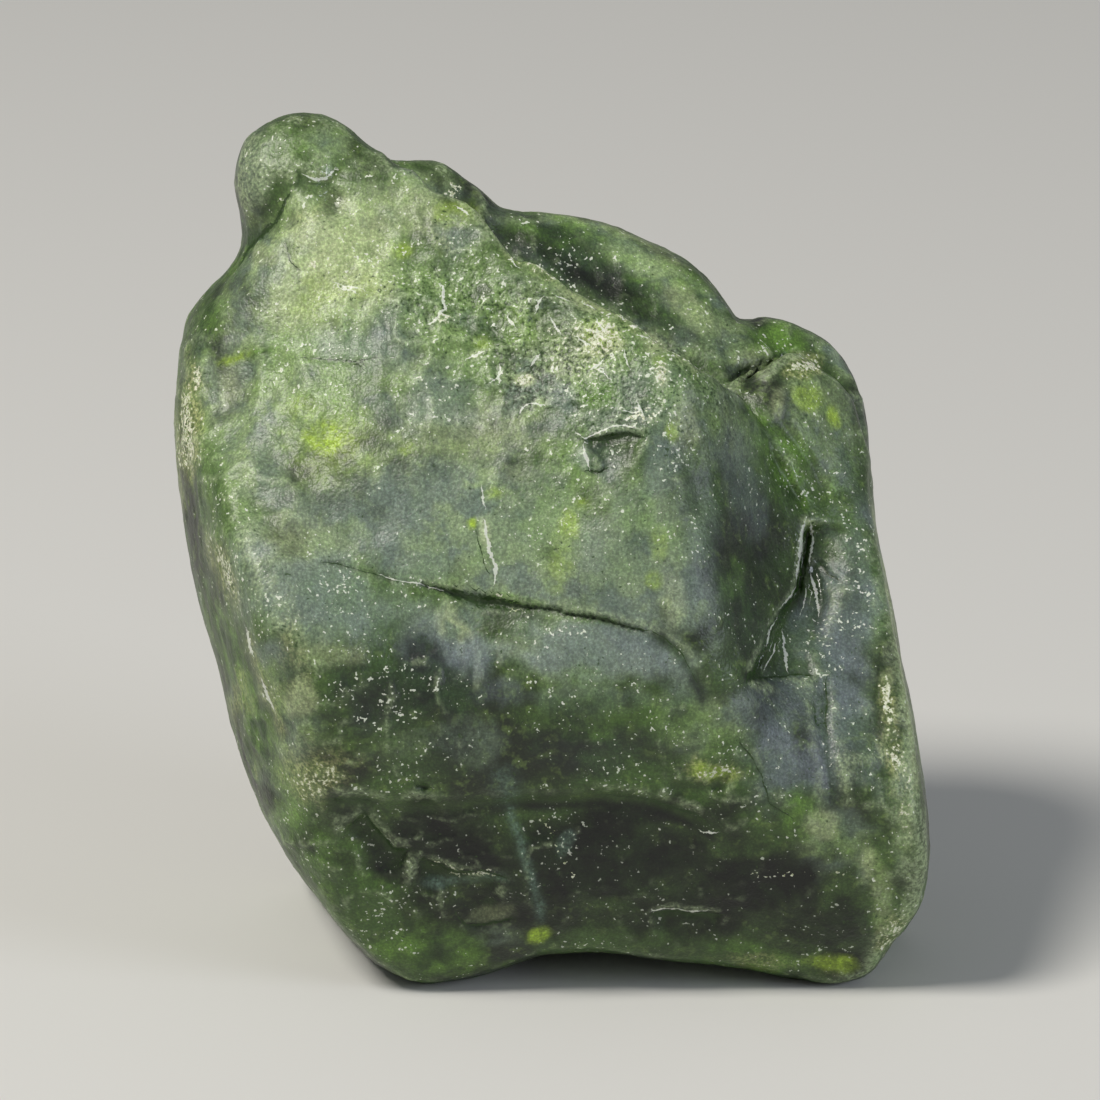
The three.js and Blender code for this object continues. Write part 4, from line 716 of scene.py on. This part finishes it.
        (-4.6, -11.5, 4.62, 2.31, 0.8), (1.9, -12.7, 7.69, 2.31, 0.35), (-7.3, -6.5, 4.23, 2.69, 0.6),
        (6.5, -9.2, 2.31, 1.54, 0.7), (3.8, -7.3, 4.62, 1.54, 0.4), (2.7, 5, 3.46, 2.31, 0.6),
        (12.7, -9.6, 1.92, 6.15, 0.5), (-11.2, -7.3, 1.54, 4.62, 0.5, -60),
        (2.7, 10.8, 4.23, 1.54, 0.5, -30), (10.4, 5.8, 2.31, 3.08, 0.4), (9.2, -1.9, 2.31, 4.62, 0.3),
    ],
    ("front", "gloss"): [
        (-8.8, 14.5, 0.62, 0.23, 1, -8), (-2.3, 0, 0.27, 1.04, 1, 8), (-8.7, 13.5, 0.58, 0.42, 0.7),
        (9.7, -0.8, 0.31, 1.92, 1, -8), (8.3, -3.5, 0.54, 1.15, 0.8, -20), (9.6, 3.1, 0.38, 0.77, 0.5),
        (10, 1.1, 0.38, 0.19, 1),
    ],
    # Behind the crest the shelf has painted light and shade: lighter towards its lit outline, dark green
    # and near black along the crest, where the crest's shadow falls.
    ("shelf", "frost_and_light"): [
        (3.5, 11.1, 3.08, 0.85, 0.95, -33), (0.4, 12.4, 2.69, 0.54, 0.8, -12),
        (5.4, 9.6, 1.54, 0.77, 0.8, -40), (6, 8.3, 1.69, 1.31, 0.6, -40),
    ],
    ("shelf", "pale_and_highlight"): [
        (3.5, 12, 2.69, 0.35, 0.35, -33), (-0.4, 13.3, 2.31, 0.23, 0.3, -10),
        (5.4, 9.4, 1.15, 0.62, 0.35, -40),
    ],
    ("shelf", "haze_and_sheen"): [
        (-0.8, 11.5, 0.85, 0.31, 0.6, -38), (3.8, 9.4, 0.85, 0.46, 0.5, -40),
        (5.1, 8.2, 0.54, 0.31, 0.5, -40),
    ],
    ("shelf", "deep_and_shade"): [
        (0.4, 11.3, 3.65, 1, 1, -28), (0.8, 10.8, 3.85, 0.62, 1, -31), (4.4, 8.8, 1.54, 0.35, 0.8, -35),
        (-1.9, 12.2, 1.31, 0.46, 0.8, -38),
    ],
    ("shelf", "shade"): [(1, 10.8, 3.65, 0.35, 0.75, -31)],
    ("shelf", "leaf_and_glow"): [
        (5.4, 10, 1.31, 0.85, 0.5, -40), (1.5, 12.1, 1.54, 0.35, 0.7, -20), (5.8, 9.6, 0.92, 0.5, 0.7, -45),
    ],
    # The front of the crest is lighter, partly painted light on its edge.
    ("crest", "frost_and_light"): [(0.4, 10, 1.15, 0.38, 0.8, -25)],
    ("crest", "pale_and_highlight"): [(1.3, 9.6, 1, 0.35, 0.45, -25)],
}
# The same along routes: name, side, half width, strength, route.
STRIPES = [
    # Painted shade in the step at the flake's edge.
    ("shade", "front", 0.2, 0.9, [(9.8, 0.4), (9.7, -0.4), (9.5, -1.3), (9.2, -2.1), (8.7, -2.8),
        (8.3, -3.5), (8, -4.2), (7.7, -4.8)]),
    ("gloss", "front", 0.5, 1, [(9.8, 1.1), (9.7, -0.4), (9.2, -1.7), (8.5, -3.1), (7.8, -4.7)]),
    ("gloss", "front", 0.3, 1, [(10.1, 0.6), (10.3, -2.3)]),
    # Painted glow of light through the seams of the lobe.
    ("leaf_and_glow", "front", 0.3, 1, [(7.3, 5.8), (8, 5.1), (8.8, 4.2), (9.6, 3.7), (10.1, 3.1)]),
    ("leaf_and_glow", "front", 0.35, 1, [(8.7, 3.3), (9, 2.5), (9.6, 1.9), (10.1, 1.5)]),
    ("crust", "crest", 0.12, 0.42, [(-2.5, 12.7), (-2, 12.1), (-1.6, 11.4), (-0.7, 11), (0.7, 10.2),
        (2.3, 9.3), (3.1, 8.6), (3.9, 8.3), (5, 7.5), (6, 6.7)]),
    ("straw", "crest", 0.22, 0.5, [(-3.8, 13.8), (-2.5, 12.7), (-2, 12.1), (-1.6, 11.4), (-0.7, 11),
        (0.7, 10.2), (2.3, 9.3), (3.1, 8.6), (3.9, 8.3), (5, 7.5), (6, 6.7)]),
    # Painted light on the lit upper rims of the rear lobes, laid as frost.
    ("frost_and_light", "front", 0.28, 0.8, [(-2.7, 12.6), (-0.8, 12.6), (1.2, 12.4), (2.7, 11.7), (4.2, 11.1),
        (5.8, 10), (6.9, 8.9)]),
    ("frost_and_light", "front", 0.3, 0.9, [(8.3, 8.5), (9.6, 8.5), (11, 7.6), (11.6, 6.3)]),
    ("vein", "front", 0.17, 0.7, [(-1.7, -9.5), (-1.5, -10.2), (-1.2, -11.1), (-0.9, -11.9), (-0.6, -12.9),
        (-0.4, -13.7), (-0.4, -14.5)]),
    ("vein", "front", 0.5, 0.5, [(-1.9, -8.1), (-1.7, -9.2), (-1.5, -10)]),
    ("crust", "front", 0.1, 0.45, [(-0.8, -10.2), (-0.3, -10.3), (0.1, -10.8), (0.3, -11.5), (0.7, -12.2),
        (1, -12.9)]),
    ("crust", "front", 0.08, 0.3, [(7.1, -12.5), (9.6, -12.4), (12.1, -12.5)]),
    ("crust", "front", 0.12, 0.6, [(-5, -12), (-4, -12.2), (-3.5, -12.5), (-2.7, -12.4), (-1.7, -12.6)]),
    ("lime", "front", 0.14, 0.9, [(-13, 7.1), (-12.7, 7.2), (-11.9, 7.5), (-11.3, 7.7)]),
    ("leaf_and_glow", "front", 0.16, 1, [(-11.9, 7.4), (-11.3, 7.6), (-10.5, 7.8)]),
    # Painted glow along the seam of the lobe.
    ("leaf_and_glow", "front", 0.35, 0.8, [(8, 5), (8.4, 3.8), (8.7, 3.1), (9, 2.3), (9.4, 1.5)]),
    # Painted rim light: pale lines along the right and left outlines.
    ("pale_and_highlight", "front", 0.12, 0.75, [(12.4, 1.9), (12.9, -0.8), (13.4, -3.7), (13.8, -6.5), (14.2, -9.6)]),
    ("pale_and_highlight", "front", 0.12, 0.6, [(-14.4, 5.8), (-14.4, 4.6), (-14.3, 3.1), (-14.1, 1.2)]),
    # Painted shade just under the lower edge of the belly.
    ("shade", "front", 0.3, 1, [(-2.7, -9.8), (-0.4, -9.8), (1.9, -9.8), (3.5, -10), (4.8, -10.3),
        (6.8, -11.2)]),
    # Painted shade again along the flake's edge, narrower.
    ("shade", "front", 0.1, 1, [(9.9, 0.7), (9.8, -0.4), (9.6, -1.2), (9.1, -2.1), (8.5, -3), (8.2, -3.9),
        (7.7, -4.9)]),
    ("deep_and_shade", "front", 0.2, 1, [(3.7, -3), (4.2, -3.4), (4.8, -3.9), (5.4, -4.7), (5.8, -5.5), (5.9, -6.3)]),
    ("straw", "front", 0.2, 0.6, [(-11.7, -3), (-11.4, -4.1), (-10.9, -5.5), (-10.6, -6.2), (-10.2, -7.5)]),
    ("pale_and_highlight", "front", 0.1, 0.6, [(-4.3, -1.7), (-4.1, -2), (-4, -2.5), (-3.4, -2.9), (-3, -3.3),
        (-2.9, -3.7)]),
]
# Finish of the sides away from the front: name, shift of the noise, where it starts and is full, strength.
OFF_FRONT = [
    ("frost_and_light", 3, -0.45, 0.25, 0.85), ("haze_and_sheen", 12, 0.1, 0.6, 0.5), ("deep_and_shade", 27, 0.15, 0.6, 0.7),
    ("leaf_and_glow", 44, 0.1, 0.5, 0.6), ("bruised", 58, 0.1, 0.6, 0.45), ("specks", 71, 0, 0.6, 0.3),
    ("straw", 83, 0.35, 0.7, 0.6), ("chipped", 96, 0, 0.5, 0.5),
]


def painted(side, patches):
    """How strongly a list of patches covers each point of the skin, with wandering edges."""
    cover = np.zeros(len(skin))
    u, v = drawn[side]
    for u0, v0, half_u, half_v, amount, *turn in patches:
        turn = math.radians(sum(turn))
        cos, sin = math.cos(turn), math.sin(turn)
        along, across = (u - u0) * cos + (v - v0) * sin, (v - v0) * cos - (u - u0) * sin
        wavering = wander * min(0.5, 0.5 / min(half_u, half_v) + 0.2)
        off = np.hypot(along / half_u, across / half_v) + wavering
        cover = np.maximum(cover, seen[side] * amount * (1 - smoothstep(off, 0.45, 1.35)))
    return cover


# The edges of patches wander by large, middling and small bends.
wander = 0.9 * noise(skin / 1.6 + 21.0) + 0.6 * noise(skin / 0.7 + 9.0) + 0.35 * noise(skin / 0.3 + 2.0)
masks = {name: np.zeros(len(skin)) for _, name in PATCHES}
for (side, name), patches in PATCHES.items():
    masks[name] = np.maximum(masks[name], painted(side, patches))
# The sides away from the front are finished in the same patchy way.
off_front = 1 - smoothstep(facing[:, 2], -0.25, 0.15)
stirred = skin + 1.6 * np.stack([noise(skin / 2.3 + shift) for shift in (5.0, 9.0, 13.0)], axis=1)
for name, shift, low, high, amount in OFF_FRONT:
    drift = noise(stirred / 3.4 + shift) + 0.5 * noise(stirred / 1.4 + shift)
    masks[name] = np.maximum(masks[name], amount * off_front * smoothstep(drift, low, high))
for name, side, width, amount, route in STRIPES:
    distance, _, from_end = near_route(route, *drawn[side])
    strip = np.exp(-((distance / width) ** 2)) * smoothstep(from_end, 0, 0.6) * seen[side]
    masks[name] = np.maximum(masks[name], amount * strip * (1 + 0.5 * wander).clip(0, 1))

# Small conchoidal chips: shallow dishes that meet in sharp little ridges.
chipped = masks.pop("chipped")
CHIP_RIDGE = 0.22
broad, narrow = (1 - np.abs(noise(skin / wave + shift)) for wave, shift in ((1.7, 31.0), (0.75, 17.0)))
ridges = broad**3 + 0.5 * narrow**3
crushed = 0.09 * noise(skin / 0.34 + 14.0) + 0.06 * noise(skin / 0.2 + 8.0)
crushing = masks["crust"] * 0.8 + 0.5 * chipped * masks["specks"]
chips = chipped * (CHIP_RIDGE * (ridges - 0.6)) + crushed * crushing
front_sunk = sunk.pop("front")
RELIEF_AT_OUTLINE = 0.05  # so that no ledge of another side nicks it
elsewhere_sunk = (RELIEF_AT_OUTLINE + (1 - RELIEF_AT_OUTLINE) * off_outline) * sum(sunk.values())
skin = skin + facing * (fine + ribs + chips - elsewhere_sunk)[:, None]
skin[:, 2] -= front_sunk

# Edges are paler as wear and painted highlight, creases darker green as painted shade: each point is set
# against the skin about it.
edges = np.concatenate((triangles[:, :2], triangles[:, 1:], triangles[:, ::2]))
edges = np.concatenate((edges, edges[:, ::-1]))
counts = np.bincount(edges[:, 0], minlength=len(skin))


def proud_of(rounds):
    """How far each point stands out from the skin about it, averaged in rounds of one edge each."""
    average = skin
    for _ in range(rounds):
        sums = [np.bincount(edges[:, 0], average[edges[:, 1], n], len(skin)) for n in range(3)]
        average = np.stack([total / counts for total in sums], axis=1)
    return ((skin - average) * facing).sum(axis=1)


proud = proud_of(4)
proud_wide = proud_of(30)
masks["rubbed"] = smoothstep(proud, 0.015, 0.06) * 0.7 + smoothstep(proud_wide, 0.1, 0.4) * 0.4
masks["crease"] = smoothstep(-proud, 0.012, 0.06) * 0.7 + smoothstep(-proud_wide, 0.06, 0.3) * 0.5

# Stands the front frame upright on the ground, over the origin.
bed_height = BED_V * math.cos(LEAN) + BED_W * math.sin(LEAN)
u, v, w = skin.T
depth, up = v * math.sin(LEAN) - w * math.cos(LEAN), v * math.cos(LEAN) + w * math.sin(LEAN)
place = np.stack((u, depth, up - bed_height), axis=1)
place[:, 2] = place[:, 2].clip(0)
aside = (place.min(axis=0) + place.max(axis=0)) / 2
aside[2] = 0
place -= aside

mesh = bpy.data.meshes.new("stone_skin")
mesh.from_pydata((place / 1000).tolist(), [], triangles.tolist())
mesh.update()
mesh.shade_smooth()
masks["lip"] = lip
for kind, side in hairline_side.items():
    masks[kind + "_side"] = 0.5 + 0.5 * side / HAIRLINE_REACH
    masks[kind + "_width"] = hairline_width[kind] / HAIRLINE_REACH
for name, values in masks.items():
    layer = mesh.attributes.new(name, "FLOAT", "POINT")
    layer.data.foreach_set("value", values.clip(0, 1).astype(np.float32))
stone = bpy.data.objects.new("stone_skin", mesh)
bpy.context.scene.collection.objects.link(stone)

# ---------------------------------------------------------------- the stone's material
# Chrome diopside, rubbed to a waxy frost: light goes a little way in, so it looks soft and deep green,
# and glints come back only from fresh breaks and from the crushed white specks of the skin.
diopside = bpy.data.materials.new("frosted_chrome_diopside")
diopside.use_nodes = True
tree = diopside.node_tree
tree.nodes.clear()


def linear(hex_colour):
    channels = [int(hex_colour[n : n + 2], 16) / 255 for n in (1, 3, 5)]
    return (*(c / 12.92 if c <= 0.04045 else ((c + 0.055) / 1.055) ** 2.4 for c in channels), 1.0)


def add_node(kind, *values, out=0, sockets=None, **settings):
    """Adds a node and gives one of its outputs. Values fill its inputs from the first on and sockets
    fill others by name or place. Each is an output to link, a hex colour or a plain value."""
    node = tree.nodes.new("ShaderNode" + kind)
    for name, value in settings.items():
        setattr(node, name, value)
    for socket, value in [*enumerate(values), *(sockets or {}).items()]:
        if isinstance(value, bpy.types.NodeSocket):
            tree.links.new(value, node.inputs[socket])
        else:
            node.inputs[socket].default_value = linear(value) if isinstance(value, str) else value
    return node.outputs[out]


TIMES, PLUS, MINUS = ({"operation": name} for name in ("MULTIPLY", "ADD", "SUBTRACT"))
SMOOTH = {"interpolation_type": "SMOOTHSTEP"}


def laid(under, over, *covers):
    """Lays one colour over another where all the covers are high. A cover is a number, an output, or an
    output with its low and high, between which it rises smoothly from 0 to 1 or to what follows them."""
    amount = None
    for cover in covers:
        if isinstance(cover, tuple):
            cover = add_node("MapRange", *cover, **SMOOTH)
        amount = cover if amount is None else add_node("Math", amount, cover, **TIMES)
    return add_node("Mix", sockets={0: amount, 6: under, 7: over}, out=2, data_type="RGBA")


mask = {name: add_node("Attribute", attribute_name=name, out="Fac") for name in masks}
where = add_node("TexCoord", out="Object")
# Turned so that Z runs up the leaning grain, along which fibres and flakes are drawn out.
grainwise = add_node("Mapping", where, sockets={"Rotation": (LEAN, 0, 0)})
fibrewise = add_node("Mapping", grainwise, sockets={"Scale": (1, 1, 0.3)})
flakewise = add_node("Mapping", grainwise, sockets={"Scale": (1, 1, 0.6)})
# Patterns, each with its size in millimetres, its detail and its roughness. Real fibres are finer than
# can be seen from here, so they are drawn as coarse as it takes to show them.
clouds, mottle, flecks, crumb, salt, fibres = (
    add_node("TexNoise", at, sockets={"Scale": 1000 / size, "Detail": detail, "Roughness": rough})
    for at, size, detail, rough in (
        (where, 4.5, 2, 0.6),  # clouds of colour inside the crystal
        (where, 1.4, 3, 0.62),  # thick and thin frost
        (where, 0.45, 2, 0.65),  # flecks of single crystals
        (where, 0.15, 1, 0.6),  # crumbs broken off them
        (where, 0.1, 1, 0.7),  # grains of the frost, as fine as salt
        (fibrewise, 0.13, 1, 0.6),  # fibres of the grain
    )
)
# Two of them are stirred with a finer one.
spread, drift = (
    add_node("Math", base, add_node("Math", add_node("Math", finer, 0.5, **MINUS), share, **TIMES), **PLUS)
    for base, finer, share in ((crumb, flecks, 0.5), (clouds, mottle, 0.7))
)

# The body of the crystal, clouded from bottle green to leaf green, and the frost over it, which is
# greener where the body shines through and bluer where it is thick. The frost has worn through in gaps.
colour = laid("#1A2413", "#3F5A26", (clouds, 0.36, 0.64))
colour = laid(colour, "#6C8442", (flecks, 0.5, 0.72), 0.45)
frosting = laid("#6C8163", "#9AB17C", (mottle, 0.3, 0.68))
frosting = laid(frosting, "#7CA04C", (drift, 0.51, 0.62, 0, 0.42))
frosting = laid(frosting, "#6F7F7B", (drift, 0.48, 0.38, 0, 0.5))
gaps = add_node("Math", add_node("Math", mask["bruised"], 0.6, **TIMES), 0.2, **PLUS)
gaps = add_node("Math", add_node("MapRange", spread, 0.56, 0.36, **SMOOTH), gaps, **TIMES)
# Frost patches along lit rims are painted light.
colour = laid(colour, frosting, mask["frost_and_light"], add_node("Math", 1.0, gaps, **MINUS))
# Blue-grey haze, partly a painted sheen of reflected light.
colour = laid(colour, "#6E797E", mask["haze_and_sheen"], (mottle, 0.3, 0.62, 0.5, 0.95))
# The dark green of the body, painted shade where it fills recesses; clear green, partly a painted glow of
# light through thin edges;
# near black painted shade; pale and straw-coloured weathering, the pale partly painted highlight; lime
# spots, veins, rubbed edges that are partly painted highlight, and creases darkened green as painted shade.
colour = laid(colour, laid("#1A231D", "#2F4428", (mottle, 0.4, 0.62)), mask["deep_and_shade"], 0.9)
colour = laid(colour, laid("#2C4716", "#648A34", (mottle, 0.36, 0.64)), mask["leaf_and_glow"], 0.85)
colour = laid(colour, laid("#0A0F09", "#182412", (mottle, 0.4, 0.64)), mask["shade"])
pale_and_highlight = laid("#B7C492", "#9FADA4", mask["haze_and_sheen"])
colour = laid(colour, pale_and_highlight, mask["pale_and_highlight"], (spread, 0.32, 0.62, 0.66, 1))
colour = laid(colour, laid("#5F7038", "#A6AC72", (spread, 0.4, 0.6)), mask["straw"], 0.8)
colour = laid(colour, "#9DBB38", mask["lime"], (flecks, 0.35, 0.55, 0.5, 0.95))
colour = laid(colour, "#6B8675", mask["vein"], (spread, 0.35, 0.6, 0.35, 0.8))
colour = laid(colour, "#A3B48C", mask["rubbed"], (spread, 0.35, 0.6, 0.2, 0.6))
colour = laid(colour, "#283F17", mask["crease"], 0.6)
# Fibres and the finest grains lighten and darken it all.
for grain, *stretch in ((fibres, 0.3, 0.7, 0.9, 1.12), (salt, 0.38, 0.74, 0.86, 1.38)):
    tone = add_node("MapRange", grain, *stretch, **SMOOTH)
    tone = {0: 1.0, 6: colour, 7: add_node("CombineColor", tone, tone, tone)}
    colour = add_node("Mix", sockets=tone, out=2, data_type="RGBA", blend_type="MULTIPLY")

# Crushed white crumbs lie in loose clusters. Crisp flakes lie where the skin is bruised, one to a cell
# of a frayed grid at most. These are the cell, the least and the most radius and the fraying, in mm.
FLAKE_CELL, FLAKE_LEAST, FLAKE_MOST, FLAKE_RAGGED = 0.45, 0.02, 0.11, 0.16
FRAY_SIZE = 1 / 9  # mm, of the noise that does it
loose = add_node("Math", add_node("Math", spread, 0.5, **MINUS), 2.4, **TIMES)
clusters = add_node("Math", add_node("Math", drift, 0.52, **MINUS), 0.8, **TIMES)
crumbling = add_node("Math", clusters, add_node("Math", mask["specks"], 0.22, **TIMES), **PLUS)
crumbling = add_node("Math", crumbling, add_node("Math", mask["shade"], 0.05, **TIMES), **MINUS)
crumbs = add_node("MapRange", add_node("Math", loose, crumbling, **PLUS), 0.5, 0.66, **SMOOTH)
flaking = add_node("Math", mask["bruised"], 2.0, **TIMES)
flaking = add_node("Math", add_node("Math", clusters, 0.16, **PLUS), flaking, **TIMES)
fray = add_node("TexNoise", where, sockets={"Scale": 1000 / FRAY_SIZE, "Detail": 0}, out="Color")
frayed = add_node("VectorMath", fray, (FLAKE_RAGGED / 1000,) * 3, flakewise, operation="MULTIPLY_ADD")
distance = add_node("TexVoronoi", frayed, sockets={"Scale": 1000 / FLAKE_CELL})
chance = add_node("SeparateColor", distance.node.outputs["Color"]).node.outputs
radii = 0, 1, FLAKE_LEAST / FLAKE_CELL, FLAKE_MOST / FLAKE_CELL
flakes = add_node("Math", add_node("MapRange", chance["Green"], *radii, **SMOOTH), distance, **MINUS)
flakes = add_node("MapRange", flakes, 0, 0.06, **SMOOTH)
chosen = add_node("Math", chance["Red"], flaking, operation="LESS_THAN")
flakes = add_node("Math", flakes, chosen, **TIMES)
speck = add_node("Math", crumbs, flakes, operation="MAXIMUM")
speck_strength = add_node("Math", 0.8, add_node("Math", mask["shade"], 0.35, **TIMES), **MINUS)
# Chalky crust with a broken edge, and small open pits that are green inside.
crusted = add_node("MapRange", add_node("Math", mask["crust"], loose, **PLUS), 0.5, 0.58, **SMOOTH)
crusted = add_node("Math", crusted, add_node("MapRange", mask["crust"], 0.02, 0.12, **SMOOTH), **TIMES)
pit = add_node("MapRange", mask["bruised"], 0, 1, 0.26, 0.36, **SMOOTH)
pit = add_node("Math", pit, spread, **MINUS)
colour = laid(colour, laid("#98A274", "#E2E5D0", (salt, 0.3, 0.62)), crusted, 0.9)
colour = laid(colour, "#E4EADB", speck, speck_strength)
colour = laid(colour, "#2C441B", (pit, 0, 0.05), 0.8)
# Painted shade: a dark green line at the foot of each ledge.
colour = laid(colour, "#35501A", mask["lip"], 0.4)
# Open cracks and glints: each lies along the nearest hairline of its kind, with a slightly ragged edge.
for kind, tint, strength in (("crack", "#213C0B", 0.94), ("glint", "#E0E5DA", 0.8)):
    off = add_node("Math", mask[kind + "_side"], 0.5, **MINUS)
    off = add_node("Math", add_node("Math", off, operation="ABSOLUTE"), 2.0, **TIMES)
    ragged = add_node("MapRange", spread, 0.3, 0.7, 0.5, 1.5, **SMOOTH)
    ragged = add_node("Math", mask[kind + "_width"], ragged, **TIMES)
    colour = laid(colour, tint, (add_node("Math", ragged, off, **MINUS), 0, 0.05), strength)

# The finest grain stands up by hundredths of a millimetre, in metres here, and more where it is bruised.
CRUMB_HEIGHT, FLECK_HEIGHT, BRUISED_HEIGHT = 0.00003, 0.00002, 0.00011
roughened = add_node("MapRange", mask["bruised"], 0, 1, FLECK_HEIGHT, BRUISED_HEIGHT, **SMOOTH)
roughened = add_node("Math", flecks, roughened, **TIMES)
height = add_node("Math", add_node("Math", crumb, CRUMB_HEIGHT, **TIMES), roughened, **PLUS)
bump = add_node("Bump", sockets={"Height": height, "Strength": 1, "Distance": 1})
# Fresh breaks are glossy. The rest is waxy, under a thin glaze, and chalky where there is crust.
WAXY, GLOSSY, CHALKIER = 0.48, 0.14, 0.25
roughness = add_node("MapRange", mask["gloss"], 0, 1, WAXY, GLOSSY, **SMOOTH)
roughness = add_node("Math", roughness, add_node("Math", crusted, CHALKIER, **TIMES), **PLUS)
glaze = add_node("Math", 0.18, add_node("Math", mask["shade"], 0.16, **TIMES), **MINUS)
glaze = add_node("Math", glaze, add_node("Math", mask["gloss"], 0.5, **TIMES), **PLUS)
finish = {
    "Base Color": colour,
    "Roughness": roughness,
    "Normal": bump,
    "IOR": 1.6,
    "Specular IOR Level": 0.35,
    "Subsurface Weight": 0.2,
    "Subsurface Radius": (0.6, 1.0, 0.4),
    "Subsurface Scale": 0.0008,
    "Coat Weight": glaze,
    "Coat Roughness": 0.28,
    "Coat IOR": 1.5,
    "Coat Normal": bump,
}
shader = add_node("BsdfPrincipled", sockets=finish)
tree.links.new(shader, tree.nodes.new("ShaderNodeOutputMaterial").inputs["Surface"])
mesh.materials.append(diopside)
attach(stone, "root")
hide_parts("stone")

# ---------------------------------------------------------------- the floor
# A plain pale studio sweep that the stone stands on. It isn't part of the stone.
FLOOR_SIZE = 3.0
corners = [(x * FLOOR_SIZE / 2, y * FLOOR_SIZE / 2, 0) for x, y in ((-1, -1), (1, -1), (1, 1), (-1, 1))]
floor_mesh = bpy.data.meshes.new("floor")
floor_mesh.from_pydata(corners, [], [(0, 1, 2, 3)])
floor = bpy.data.objects.new("floor", floor_mesh)
bpy.context.scene.collection.objects.link(floor)
paper = bpy.data.materials.new("matt_pale_paper")
paper.use_nodes = True
paper_shader = paper.node_tree.nodes["Principled BSDF"]
paper_shader.inputs["Base Color"].default_value = linear("#D9D9D6")
paper_shader.inputs["Roughness"].default_value = 0.9
floor_mesh.materials.append(paper)

# ---------------------------------------------------------------- light and camera
# A broad soft lamp from the upper left gives the shapes, a weak one from the right opens the shadows.
def soft_lamp(name, place, aim, size, power, colour):
    lamp = bpy.data.lights.new(name, "AREA")
    lamp.shape = "DISK"
    lamp.size = size
    lamp.energy = power
    lamp.color = linear(colour)[:3]
    holder = bpy.data.objects.new(name, lamp)
    holder.location = place
    holder.rotation_euler = (Vector(aim) - Vector(place)).to_track_quat("-Z", "Y").to_euler()
    bpy.context.scene.collection.objects.link(holder)


STONE_MIDDLE = (0, 0, 0.015)
soft_lamp("key_lamp", (-0.24, -0.16, 0.41), STONE_MIDDLE, 0.16, 2.0, "#FFFAF2")
soft_lamp("fill_lamp", (0.34, -0.2, 0.16), STONE_MIDDLE, 0.2, 0.5, "#EAF1FF")
world = bpy.data.worlds.new("pale_room")
world.use_nodes = True
background = world.node_tree.nodes["Background"]
background.inputs["Color"].default_value = linear("#E6E8EA")
background.inputs["Strength"].default_value = 0.25
bpy.context.scene.world = world
bpy.context.scene.view_settings.view_transform = "Standard"

# The camera looks along the front frame's w axis, at the middle of that frame.
aim = Vector((-aside[0], -aside[1], -bed_height)) / 1000
camera_data = bpy.data.cameras.new("camera")
camera_data.sensor_width = 36  # mm
camera_data.lens = 255.3  # mm, which takes in 42.3 mm at the stone
camera_data.clip_start = 0.01
camera = bpy.data.objects.new("camera", camera_data)
camera.location = aim + Vector((0, -math.cos(LEAN), math.sin(LEAN))) * EYE_DISTANCE / 1000
camera.rotation_euler = (math.pi / 2 - LEAN, 0, 0)
bpy.context.scene.collection.objects.link(camera)
bpy.context.scene.camera = camera
